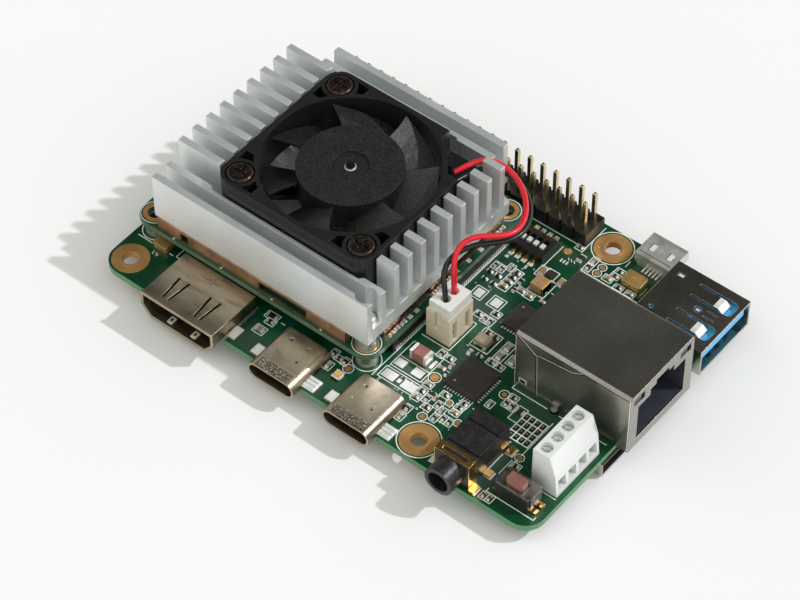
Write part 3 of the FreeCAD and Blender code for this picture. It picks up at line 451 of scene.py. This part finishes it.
class Kit:
    """Collects the small parts of one height level of a board into a few meshes."""

    def __init__(self, z):
        self.z = z
        self.ink = bmesh.new()
        self.body = bmesh.new()
        self.metal = bmesh.new()

    def frame(self, x0, x1, y0, y1, width=0.15):
        ink_frame(self.ink, x0, x1, y0, y1, width, self.z)

    def line(self, x0, y0, x1, y1, width=0.15):
        ink_line(self.ink, x0, y0, x1, y1, width, self.z)

    def pad(self, x0, x1, y0, y1, height=0.07):
        box_mesh(self.metal, x0, x1, y0, y1, self.z, self.z + height, 0)

    def chip(self, x, y, along, kind, length=1.0, width=0.5, height=0.35, frame=True, end=0.24):
        """Two-ended part: a ceramic body, metal end caps and solder fillets on its two pads."""
        hx, hy = (length / 2, width / 2) if along == "x" else (width / 2, length / 2)
        z = self.z
        index = {"tan": 0, "black": 1, "grey": 2, "pink": 3}[kind]
        if along == "x":
            box_mesh(self.body, x - hx + end, x + hx - end, y - hy, y + hy, z, z + height, index)
            for s in (-1, 1):
                x0, x1 = sorted((x + s * (hx - end), x + s * hx))
                box_mesh(self.metal, x0, x1, y - hy, y + hy, z, z + height, 1)
                x0, x1 = sorted((x + s * (hx - end * 0.5), x + s * (hx + 0.16)))
                box_mesh(self.metal, x0, x1, y - hy - 0.04, y + hy + 0.04, z, z + 0.12, 0)
        else:
            box_mesh(self.body, x - hx, x + hx, y - hy + end, y + hy - end, z, z + height, index)
            for s in (-1, 1):
                y0, y1 = sorted((y + s * (hy - end), y + s * hy))
                box_mesh(self.metal, x - hx, x + hx, y0, y1, z, z + height, 1)
                y0, y1 = sorted((y + s * (hy - end * 0.5), y + s * (hy + 0.16)))
                box_mesh(self.metal, x - hx - 0.04, x + hx + 0.04, y0, y1, z, z + 0.12, 0)
        if frame:
            gap = 0.36
            self.frame(x - hx - gap, x + hx + gap, y - hy - gap, y + hy + gap, 0.13)

    def finish(self, name):
        finish_piece(name + "_ink", self.ink, [white_ink])
        finish_piece(name + "_parts", self.body, [tan_ceramic, black_ceramic, grey_ceramic, pink_ceramic],
                     bevel=0.03)
        finish_piece(name + "_solder", self.metal, [solder, cap_metal], bevel=0.03)


main = Kit(0.0)

# outlines round holes, sockets and headers
for x, y in HOLES[1:3]:
    ring_mesh(main.ink, x, y, 3.5, 3.34, 0.0, INK)
for x, y in MODULE_HOLES:
    ring_mesh(main.ink, x, y, 2.35, 2.2, 0.0, INK)
# x and y of each stroke's two ends
OUTLINE_STROKES = [
    (48.05, 8.8, 48.05, 43.0), (7.0, 49.72, 58.1, 49.72), (58.1, 49.72, 58.1, 55.3),
    (47.65, 42.4, 47.65, 49.0), (55.15, 42.4, 55.15, 48.0), (66.3, 20.15, 72.9, 20.15),
    (75.1, 20.15, 84.0, 20.15), (66.3, 20.15, 66.3, 21.0), (75.3, 7.25, 84.2, 7.25),
    (75.3, 7.25, 75.3, 18.5), (75.2, 2.2, 83.9, 2.2), (75.2, 2.2, 75.2, 2.9), (83.9, 2.2, 83.9, 2.9),
    (48.9, 19.9, 54.3, 19.9), (48.9, 26.8, 54.3, 26.8), (54.3, 19.9, 54.3, 26.8),
    (64.4, 11.7, 72.6, 11.7), (1.0, 8.05, 4.1, 8.05), (7.6, 8.05, 8.4, 8.05), (8.9, 8.2, 8.9, 10.0),
    (8.9, 8.2, 9.8, 8.2), (65.3, 50.6, 65.3, 52.0), (71.2, 46.0, 71.2, 52.5), (60.2, 45.7, 72.6, 45.7),
    (60.2, 45.7, 60.2, 48.8), (30.6, 1.2, 31.6, 1.2), (30.6, 8.1, 31.4, 8.1),
]
for ends in OUTLINE_STROKES:
    main.line(*ends)

# power parts beside the module
POWER_FRAMES = [
    (48.95, 54.75, 14.55, 18.1), (48.95, 54.75, 12.25, 14.55), (48.7, 55.6, 9.35, 11.75),
]
for ends in POWER_FRAMES:
    main.frame(*ends)
for x0, x1, y0, y1 in ((49.2, 50.95, 12.65, 14.2), (52.4, 54.3, 12.7, 14.25), (49.0, 51.4, 9.7, 11.4),
                       (52.7, 55.3, 9.7, 11.4), (51.75, 52.4, 10.1, 10.9), (53.9, 54.45, 15.3, 17.1),
                       (50.0, 51.4, 31.2, 32.9), (53.3, 54.9, 31.2, 32.9)):
    main.pad(x0, x1, y0, y1)
PART_FRAMES = [
    (49.6, 51.75, 30.85, 33.25), (52.95, 55.3, 30.85, 33.25), (55.85, 59.25, 22.9, 27.1),
    (56.0, 59.15, 37.25, 41.0), (56.2, 58.2, 40.75, 43.0), (52.0, 53.75, 34.7, 39.6),
]
for ends in PART_FRAMES:
    main.frame(*ends)

# two-ended parts: x, y, direction, colour, length, width, outline
SMALL = [
    (55.4, 18.7, "x", "black", 0.9, 0.5, True), (56.5, 17.7, "y", "tan", 1.0, 0.5, False),
    (55.6, 16.5, "x", "tan", 1.0, 0.6, False), (56.9, 16.0, "y", "black", 0.9, 0.45, False),
    (53.8, 18.7, "y", "black", 0.9, 0.5, True), (56.0, 12.7, "x", "grey", 0.9, 0.5, True),
    (56.0, 11.1, "x", "black", 0.9, 0.5, True), (56.0, 9.6, "x", "tan", 0.9, 0.5, True),
    (57.5, 10.4, "y", "black", 0.9, 0.45, True), (58.5, 11.3, "y", "tan", 1.0, 0.5, False),
    (58.5, 9.1, "x", "black", 0.9, 0.5, True), (59.3, 12.7, "x", "black", 0.9, 0.45, True),
    (59.7, 10.5, "y", "black", 0.9, 0.45, True), (60.7, 9.9, "y", "grey", 0.9, 0.45, True),
    (62.6, 13.0, "x", "black", 0.9, 0.5, True), (62.5, 12.0, "x", "black", 0.9, 0.5, True),
    (62.5, 10.9, "x", "tan", 0.9, 0.5, True), (61.9, 8.9, "y", "black", 0.9, 0.45, True),
    (63.0, 8.9, "y", "black", 0.9, 0.45, True), (60.7, 8.2, "y", "black", 0.9, 0.45, True),
    (56.4, 7.1, "y", "black", 0.9, 0.5, True), (56.5, 5.2, "y", "grey", 0.9, 0.5, True),
    (49.3, 38.2, "y", "black", 0.9, 0.45, True), (50.4, 38.2, "y", "black", 0.9, 0.45, True),
    (51.4, 39.3, "y", "grey", 0.8, 0.4, True), (52.85, 38.95, "x", "black", 1.0, 0.6, False),
    (52.85, 37.85, "x", "black", 1.0, 0.55, False), (52.85, 36.8, "x", "grey", 1.0, 0.5, False),
    (52.85, 35.6, "x", "tan", 1.0, 0.7, False), (54.4, 37.9, "y", "black", 1.1, 0.6, False),
    (49.3, 36.6, "x", "black", 1.0, 0.5, False), (50.9, 36.6, "x", "black", 1.0, 0.5, False),
    (55.6, 36.5, "x", "grey", 1.0, 0.5, True), (57.1, 36.4, "x", "tan", 1.0, 0.6, True),
    (54.6, 35.9, "y", "black", 0.9, 0.5, False), (49.6, 34.9, "x", "black", 0.9, 0.45, False),
    (51.3, 34.9, "x", "black", 0.9, 0.45, False), (55.5, 30.25, "x", "black", 0.9, 0.5, True),
    (53.4, 28.6, "x", "black", 0.9, 0.5, True), (54.7, 28.4, "y", "black", 0.9, 0.45, True),
    (55.7, 28.4, "y", "black", 0.9, 0.45, True), (56.9, 26.4, "x", "black", 1.0, 0.55, False),
    (58.3, 26.4, "x", "black", 1.0, 0.55, False), (61.1, 26.0, "y", "grey", 1.3, 0.9, True),
    (61.1, 23.9, "y", "grey", 1.3, 0.9, True), (63.3, 24.3, "y", "grey", 1.3, 0.9, True),
    (60.8, 22.1, "x", "black", 0.9, 0.5, True), (62.3, 22.1, "x", "black", 0.9, 0.5, True),
    (57.0, 21.6, "y", "grey", 1.0, 0.6, False), (58.6, 22.0, "x", "black", 0.9, 0.5, False),
    (55.7, 41.7, "y", "tan", 1.6, 0.8, True), (59.4, 41.6, "y", "tan", 1.6, 0.8, False),
    (59.6, 36.6, "x", "grey", 0.9, 0.5, False), (67.7, 18.7, "x", "black", 0.9, 0.45, True),
    (67.5, 17.2, "y", "black", 0.9, 0.45, True), (68.5, 17.2, "y", "black", 0.9, 0.45, True),
    (65.6, 15.5, "y", "grey", 0.8, 0.4, True), (70.1, 17.1, "x", "black", 1.3, 0.9, False),
    (75.85, 8.5, "x", "black", 0.9, 0.5, True), (75.45, 1.35, "y", "black", 0.8, 0.4, True),
    (76.5, 1.35, "y", "black", 0.8, 0.4, True), (28.7, 8.3, "x", "black", 1.6, 0.7, True),
    (29.2, 7.2, "x", "black", 1.0, 0.5, True), (28.9, 5.0, "x", "grey", 1.3, 0.9, True),
    (41.7, 6.1, "y", "grey", 1.0, 0.6, True), (42.2, 8.2, "x", "black", 0.9, 0.45, True),
    (43.3, 8.3, "y", "black", 0.9, 0.45, True), (40.9, 8.6, "y", "black", 0.9, 0.45, True),
    (60.8, 48.5, "y", "grey", 1.0, 0.5, True), (60.8, 46.9, "y", "black", 1.0, 0.5, True),
    (64.6, 46.9, "x", "tan", 1.0, 0.6, True), (65.3, 49.2, "x", "black", 0.9, 0.5, True),
    (65.2, 48.0, "x", "black", 0.9, 0.5, True), (67.0, 46.4, "x", "black", 0.9, 0.45, True),
    (69.2, 46.4, "x", "grey", 0.9, 0.45, True), (58.9, 47.6, "y", "black", 1.4, 1.0, False),
    (57.4, 49.4, "x", "black", 0.8, 0.4, True), (5.9, 6.6, "x", "black", 0.8, 0.4, False),
]
for x, y, along, kind, length, width, framed in SMALL:
    main.chip(x, y, along, kind, length, width, random.uniform(0.3, 0.42), framed)

# block of resistors behind the audio socket: dark cells in a white grid, each with a small light mark
for row in range(4):
    for col in range(4):
        x, y = 71.5 + 1.02 * col, 13.0 + 1.32 * row
        box_mesh(main.body, x - 0.24, x + 0.24, y - 0.4, y + 0.4, 0.0, 0.2, 1)
        box_mesh(main.body, x - 0.1, x + 0.1, y - 0.16, y + 0.16, 0.2, 0.215, 2)
for k in range(5):
    main.line(70.99 + 1.02 * k, 12.34, 70.99 + 1.02 * k, 17.62, 0.2)
    main.line(70.89, 12.34 + 1.32 * k, 75.17, 12.34 + 1.32 * k, 0.2)
main.frame(69.3, 71.0, 15.1, 18.1)

# rows of solder pads round the flat chips and at the switch, latch and header feet
for i in range(11):
    t = 0.52 * i
    main.pad(58.1 + t, 58.35 + t, 13.75, 14.2, 0.05)
    main.pad(58.1 + t, 58.35 + t, 20.4, 20.85, 0.05)
    main.pad(57.35, 57.8, 14.65 + t, 14.9 + t, 0.05)
    main.pad(63.8, 64.25, 14.65 + t, 14.9 + t, 0.05)
for i in range(9):
    t = 0.55 * i
    main.pad(56.95, 57.4, 29.3 + t, 29.6 + t, 0.05)
    main.pad(57.6 + t, 57.9 + t, 28.6, 29.0, 0.05)
for i in range(3):
    main.pad(56.45 + 0.55 * i, 56.75 + 0.55 * i, 45.1, 45.8, 0.05)
    main.line(57.2 + 0.55 * i, 46.6, 57.6 + 0.55 * i, 46.1, 0.12)
for x in (49.5, 50.77, 52.04, 53.3):
    main.pad(x - 0.4, x + 0.4, 41.3, 42.1, 0.16)
    main.pad(x - 0.4, x + 0.4, 48.2, 49.0, 0.16)
main.pad(49.1, 49.7, 40.5, 41.1, 0.05)
main.pad(52.9, 53.3, 40.4, 41.2, 0.05)
for x0, x1, y0, y1 in ((73.0, 74.5, 9.4, 11.2), (73.0, 74.5, 4.1, 5.6), (73.2, 74.5, 0.3, 2.1),
                       (65.0, 66.6, 1.2, 2.6)):
    main.pad(x0, x1, y0, y1, 0.1)
main.line(72.95, 5.8, 72.95, 9.2)
main.line(74.7, 5.8, 74.7, 9.2)

# test points: x, y, pad radius, outline radius
gold_spots = bmesh.new()
POINTS = [(55.9, 14.35, 0.72, 1.0), (60.7, 11.85, 0.42, 0.6), (59.1, 7.25, 0.5, 0.78),
          (64.0, 9.6, 0.45, 0.66),
          (66.2, 18.35, 0.42, 0.82), (75.35, 10.15, 0.45, 0.72), (56.35, 47.6, 0.66, 0.0),
          (62.6, 48.2, 0.46, 0.72), (62.6, 46.75, 0.46, 0.72), (44.5, 7.5, 0.55, 0.85)]
for x, y, r, ring in POINTS:
    prism_mesh(gold_spots, disc_points(x, y, r), 0.0, 0.04)
    if ring > 0.0:
        ring_mesh(main.ink, x, y, ring + 0.07, ring - 0.07, 0.0, INK)
finish_piece("test_points", gold_spots, [gold_pad], bevel=0.01)

# short reference marks scattered between the parts, strokes only
for _ in range(150):
    x, y = random.uniform(48.6, 65.5), random.choice((random.uniform(7.5, 14.0), random.uniform(20.5, 43.0)))
    if 59.9 < x and y > 27.5:
        continue
    if x < 54.6 and 12.0 < y < 27.2:
        continue
    if 57.0 < x < 64.4 and 13.6 < y < 20.9:
        continue
    if random.random() < 0.5:
        main.line(x, y, x + random.uniform(0.25, 0.5), y, 0.1)
    else:
        main.line(x, y, x, y + random.uniform(0.25, 0.5), 0.1)
main.finish("board")

# ---------------------------------------------------------------- module edge
module = Kit(MODULE_TOP)
for x, y in MODULE_HOLES:
    ring_mesh(module.ink, x, y, 2.35, 2.22, MODULE_TOP, MODULE_TOP + INK)
for y in (15.6, 17.2, 26.2, 27.6, 29.0, 40.4, 41.9):
    module.chip(47.5, y, "y", "grey", 1.0, 0.5, 0.45, False)
for y in (14.3, 24.9, 30.3):
    module.chip(47.5, y, "y", "tan", 0.9, 0.5, 0.4, False)
for x in (8.6, 18.4, 28.7, 38.5):
    module.pad(x - 0.2, x + 0.2, 8.15, 8.4, 0.06)
for y in (18.4, 20.0, 33.0, 36.0):
    module.pad(47.2, 47.9, y, y + 0.8, 0.2)
module.finish("module")

# ---------------------------------------------------------------- bright ring round the end of the fan's shaft
RING_OUTER, RING_INNER = 0.95, 0.42
RING_LOW, RING_TOP = 17.55, 17.74
shaft_low, shaft_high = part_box("fan_shaft")
shaft_x = ((shaft_low[0] + shaft_high[0]) / 2 - ORIGIN.x) / MM
shaft_y = ((shaft_low[1] + shaft_high[1]) / 2 - ORIGIN.y) / MM
bm = bmesh.new()
ring_mesh(bm, shaft_x, shaft_y, RING_OUTER, RING_INNER, RING_LOW, RING_TOP, 32)
finish_piece("hub_ring", bm, [mats["screw_steel"]], body="fan_rotor_body", bevel=0.05)

# ---------------------------------------------------------------- first-pin marks on the flat chips
bm = bmesh.new()
prism_mesh(bm, disc_points(59.0, 15.3, 0.2, 20), 0.895, 0.915)
prism_mesh(bm, disc_points(58.3, 33.4, 0.2, 20), 0.845, 0.865)
finish_piece("chip_marks", bm, [grey_ceramic])

# ---------------------------------------------------------------- details on the metal sockets: painted shade in their seams, slots and holes, painted highlights on their edges and tabs
# painted shade: near-black colour for the shade inside seams, slots, holes, dimples and under the HDMI slits
painted_gap_shade = surface("painted_gap_shade", srgb(26, 24, 22), 0.6, 0.0, (900.0, 0.2), (3000.0, 0.2))
# painted highlight: near-white colour for light caught by folded edges, rims, spring leaves and tabs
painted_highlight = surface("painted_highlight", srgb(246, 244, 236), 0.3, 0.25, (900.0, 0.1), (3000.0, 0.15), edge=0.04)
# stippled steel band: the stipple is real, its near-white speckle is painted glints on the bumps
stipple = surface("stippled_steel", srgb(128, 118, 100), 0.3, 0.85, (2600.0, 0.5), (2800.0, 0.6), 0.1,
                  second=srgb(246, 240, 224), second_scale=3000.0, second_amount=0.9)


def side_line(bm, points, y, width, index=0):
    """Thin strip on a face of constant y, along points of (x, z)."""
    for (x0, z0), (x1, z1) in zip(points, points[1:]):
        d = Vector((x1 - x0, z1 - z0))
        n = Vector((-d.y, d.x)).normalized() * width / 2
        e = d.normalized() * width * 0.3
        corners = [(x0 + n.x - e.x, z0 + n.y - e.y), (x0 - n.x - e.x, z0 - n.y - e.y),
                   (x1 - n.x + e.x, z1 - n.y + e.y), (x1 + n.x + e.x, z1 + n.y + e.y)]
        loops = [[bm.verts.new(place(x, yy, z)) for x, z in corners] for yy in (y - 0.02, y + 0.02)]
        faces = [bm.faces.new(loops[0]), bm.faces.new(loops[1][::-1])]
        for a in range(4):
            b = (a + 1) % 4
            faces.append(bm.faces.new((loops[0][a], loops[1][a], loops[1][b], loops[0][b])))
        for f in faces:
            f.material_index = index


# Ethernet socket's side: strips of painted shade along its seams and in the peg's hole, with thin painted
# highlights on the seams' lit lips, the hole's rim and its upright edges
insert_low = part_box("ethernet_insert")[0]
rj_y = (insert_low[1] - ORIGIN.y) / MM - 0.35
bm = bmesh.new()
side_line(bm, [(66.3, 11.7), (69.9, 9.3), (70.1, 0.4)], rj_y, 0.17, 0)
side_line(bm, [(66.5, 11.85), (70.1, 9.5), (70.32, 0.4)], rj_y - 0.005, 0.07, 1)
side_line(bm, [(70.2, 9.6), (76.7, 10.4), (78.9, 11.75), (86.9, 11.75)], rj_y, 0.15, 0)
side_line(bm, [(70.3, 9.82), (76.6, 10.62), (78.4, 11.75)], rj_y - 0.005, 0.06, 1)
side_line(bm, [(67.2, 1.9), (68.1, 1.9)], rj_y - 0.005, 0.95, 1)
side_line(bm, [(67.32, 1.85), (67.95, 1.85)], rj_y - 0.025, 0.66, 0)
side_line(bm, [(66.15, 0.3), (66.15, 11.6)], rj_y - 0.005, 0.08, 1)
side_line(bm, [(87.12, 0.4), (87.12, 11.8)], rj_y - 0.005, 0.16, 1)
finish_piece("ethernet_seam_shade_and_highlights", bm, [painted_gap_shade, painted_highlight])

# HDMI socket: dark strokes of painted shade for the perforations in its top, and tabs on its floor coloured as
# painted highlights with a strip of painted shade
bm = bmesh.new()
for x, y, w, d in ((18.1, 6.2, 0.5, 0.1), (18.7, 6.5, 0.1, 0.5), (18.9, 5.9, 0.5, 0.1), (18.3, 5.6, 0.1, 0.4),
                   (18.7, 5.4, 0.45, 0.1)):
    box_mesh(bm, x - w / 2, x + w / 2, y - d / 2, y + d / 2, 2.86, 2.915, 0)
for x in (16.3, 21.1):
    box_mesh(bm, x - 0.5, x + 0.5, -1.9, -0.6, -1.36, -1.2, 1)
    box_mesh(bm, x - 0.18, x + 0.18, -1.5, -0.95, -1.2, -1.18, 0)
# a dark sheet of painted shade under the top slits inside the shell
box_mesh(bm, 12.6, 24.6, -1.4, 4.0, 2.1, 2.18, 0)
finish_piece("hdmi_painted_light", bm, [painted_gap_shade, painted_highlight], bevel=0.02)

# USB-C sockets: a stippled band on the shell's front with painted glints, a centre seam and two dimples in
# painted shade
bm = bmesh.new()
for xc in USB_C_X:
    box_mesh(bm, xc - 3.1, xc + 3.1, -1.62, 0.3, 1.47, 1.515, 0)
    box_mesh(bm, xc - 0.06, xc + 0.06, -1.62, 0.3, 1.48, 1.52, 1)
    for dx, y in ((-1.7, 5.6), (1.7, 2.6)):
        prism_mesh(bm, disc_points(xc + dx, y, 0.2, 16), 1.515, 1.53, 1)
finish_piece("usb_c_details", bm, [stipple, painted_gap_shade])

# spring leaves in the type A socket's top and tabs on its top, coloured as painted highlights, and latch tabs
# on the small socket with painted highlights beside painted shade in their slots
bm = bmesh.new()
for ya, yb in ((42.42, 44.58), (48.57, 50.73)):
    loops = [[bm.verts.new(place(x, y, z)) for x,
              z in ((83.0, 5.28), (83.9, 5.28), (84.74, 4.58), (84.79, 4.6),
                                                    (83.92, 5.33), (83.0, 5.33))] for y in (ya, yb)]
    bm.faces.new(loops[0])
    bm.faces.new(loops[1][::-1])
    for a in range(6):
        b = (a + 1) % 6
        bm.faces.new((loops[0][a], loops[1][a], loops[1][b], loops[0][b]))
box_mesh(bm, 75.15, 76.05, 50.45, 50.95, 4.9, 5.2)
box_mesh(bm, 81.2, 81.9, 46.45, 46.75, 4.95, 5.15)
for x in (67.3, 70.6):
    box_mesh(bm, x, x + 0.75, 53.9, 55.3, 2.58, 2.63, 0)
    box_mesh(bm, x - 0.12, x + 0.05, 53.8, 55.4, 2.585, 2.612, 1)
box_mesh(bm, 66.2, 72.1, 52.9, 53.02, 2.585, 2.612, 1)
finish_piece("socket_springs_painted_light", bm, [painted_highlight, painted_gap_shade])

# solder on the sockets' side tabs and pegs
bm = bmesh.new()
for xc in USB_C_X:
    for k in range(3):
        y = 0.55 + 0.78 * k
        box_mesh(bm, xc + 4.55, xc + 6.55, y, y + 0.55, 0.28, 0.62)
    box_mesh(bm, xc + 4.4, xc + 6.75, 0.35, 2.85, 0.0, 0.32)
    box_mesh(bm, xc - 6.0, xc - 4.4, 0.7, 2.6, 0.25, 0.42)
for x0, x1 in ((25.95, 27.1), (9.9, 11.05)):
    box_mesh(bm, x0, x1, 1.1, 3.1, 0.3, 0.6)
    box_mesh(bm, x0 - 0.05, x1 + 0.15, 0.85, 3.35, 0.0, 0.36)
for i in range(5):
    x = 68.0 + 0.65 * i
    box_mesh(bm, x - 0.17, x + 0.17, 51.15, 52.15, 0.0, 0.24)
finish_piece("socket_solder", bm, [solder], bevel=0.08)

# fine pitch contacts along the mezzanine connector
bm = bmesh.new()
for i in range(58):
    y = 15.0 + 0.48 * i
    box_mesh(bm, 47.75, 47.98, y, y + 0.2, 0.0, 0.5)
finish_piece("mezzanine_feet", bm, [solder])

# ---------------------------------------------------------------- larger passives with metal ends
bm = bmesh.new()
# pink capacitor
box_mesh(bm, 50.95, 53.05, 15.0, 17.0, 0.0, 2.0, 0)
box_mesh(bm, 50.4, 50.95, 15.0, 17.0, 0.0, 2.0, 1)
box_mesh(bm, 53.05, 53.6, 15.0, 17.0, 0.0, 2.0, 1)
# moulded inductor and capacitor
box_mesh(bm, 56.3, 58.7, 23.4, 25.3, 0.15, 1.2, 2)
box_mesh(bm, 56.35, 56.9, 23.35, 25.35, 0.0, 0.5, 1)
box_mesh(bm, 58.1, 58.65, 23.35, 25.35, 0.0, 0.5, 1)
box_mesh(bm, 56.3, 58.8, 37.6, 40.0, 0.0, 1.5, 3)
box_mesh(bm, 58.45, 58.8, 37.6, 40.0, 0.0, 1.52, 4)
# status light: white body with two amber dies under clear resin
box_mesh(bm, 43.5, 45.0, 4.5, 6.2, 0.0, 0.45, 5)
box_mesh(bm, 43.65, 44.85, 4.95, 5.75, 0.45, 0.6, 4)
box_mesh(bm, 43.5, 45.0, 4.5, 4.85, 0.0, 0.6, 1)
box_mesh(bm, 43.5, 45.0, 5.85, 6.2, 0.0, 0.6, 1)
large = finish_piece("large_passives", bm,
                     [pink_ceramic, cap_metal, inductor_resin, tan_ceramic, amber, white_body],
                     bevel=0.07)
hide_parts("passives")

# ---------------------------------------------------------------- studio
floor_z = cad_box[0][2]
bm = bmesh.new()
bmesh.ops.create_grid(bm, x_segments=1, y_segments=1, size=2.0)
floor_data = bpy.data.meshes.new("floor")
bm.to_mesh(floor_data)
bm.free()
floor = bpy.data.objects.new("floor", floor_data)
floor.location = (0.0, 0.0, floor_z - 0.0001)
bpy.context.scene.collection.objects.link(floor)
floor_data.materials.append(surface("floor_paper", srgb(250, 250, 250), 0.9, 0.0, (3.0, 0.01), (300.0, 0.02),
                                    specular=0.1))

world = bpy.data.worlds.new("studio")
bpy.context.scene.world = world
world.use_nodes = True
world_nodes, world_links = world.node_tree.nodes, world.node_tree.links
# A bright room with one dark side, behind and above the object, which the flat metal tops mirror.
sky_coord = world_nodes.new("ShaderNodeTexCoord")
sky_dot = world_nodes.new("ShaderNodeVectorMath")
sky_dot.operation = "DOT_PRODUCT"
sky_dot.inputs[1].default_value = Vector((-0.46, 0.52, 0.72)).normalized()
world_links.new(sky_coord.outputs["Generated"], sky_dot.inputs[0])
sky_range = world_nodes.new("ShaderNodeMapRange")
sky_range.interpolation_type = "SMOOTHSTEP"
sky_range.inputs["From Min"].default_value = 0.68
sky_range.inputs["From Max"].default_value = 0.97
sky_range.inputs["To Min"].default_value = 0.878
sky_range.inputs["To Max"].default_value = 0.06
world_links.new(sky_dot.outputs["Value"], sky_range.inputs["Value"])
world_nodes["Background"].inputs["Color"].default_value = (0.995, 1.0, 0.945, 1.0)
world_links.new(sky_range.outputs["Result"], world_nodes["Background"].inputs["Strength"])

sun_data = bpy.data.lights.new("key", "SUN")
sun_data.energy = 1.35
sun_data.color = (1.0, 0.985, 1.075)
sun_data.angle = math.radians(1.6)
sun = bpy.data.objects.new("key", sun_data)
bpy.context.scene.collection.objects.link(sun)
sun.rotation_euler = Vector((0.527, 0.432, 0.732)).to_track_quat("Z", "Y").to_euler()
bpy.context.scene.view_settings.view_transform = "Standard"
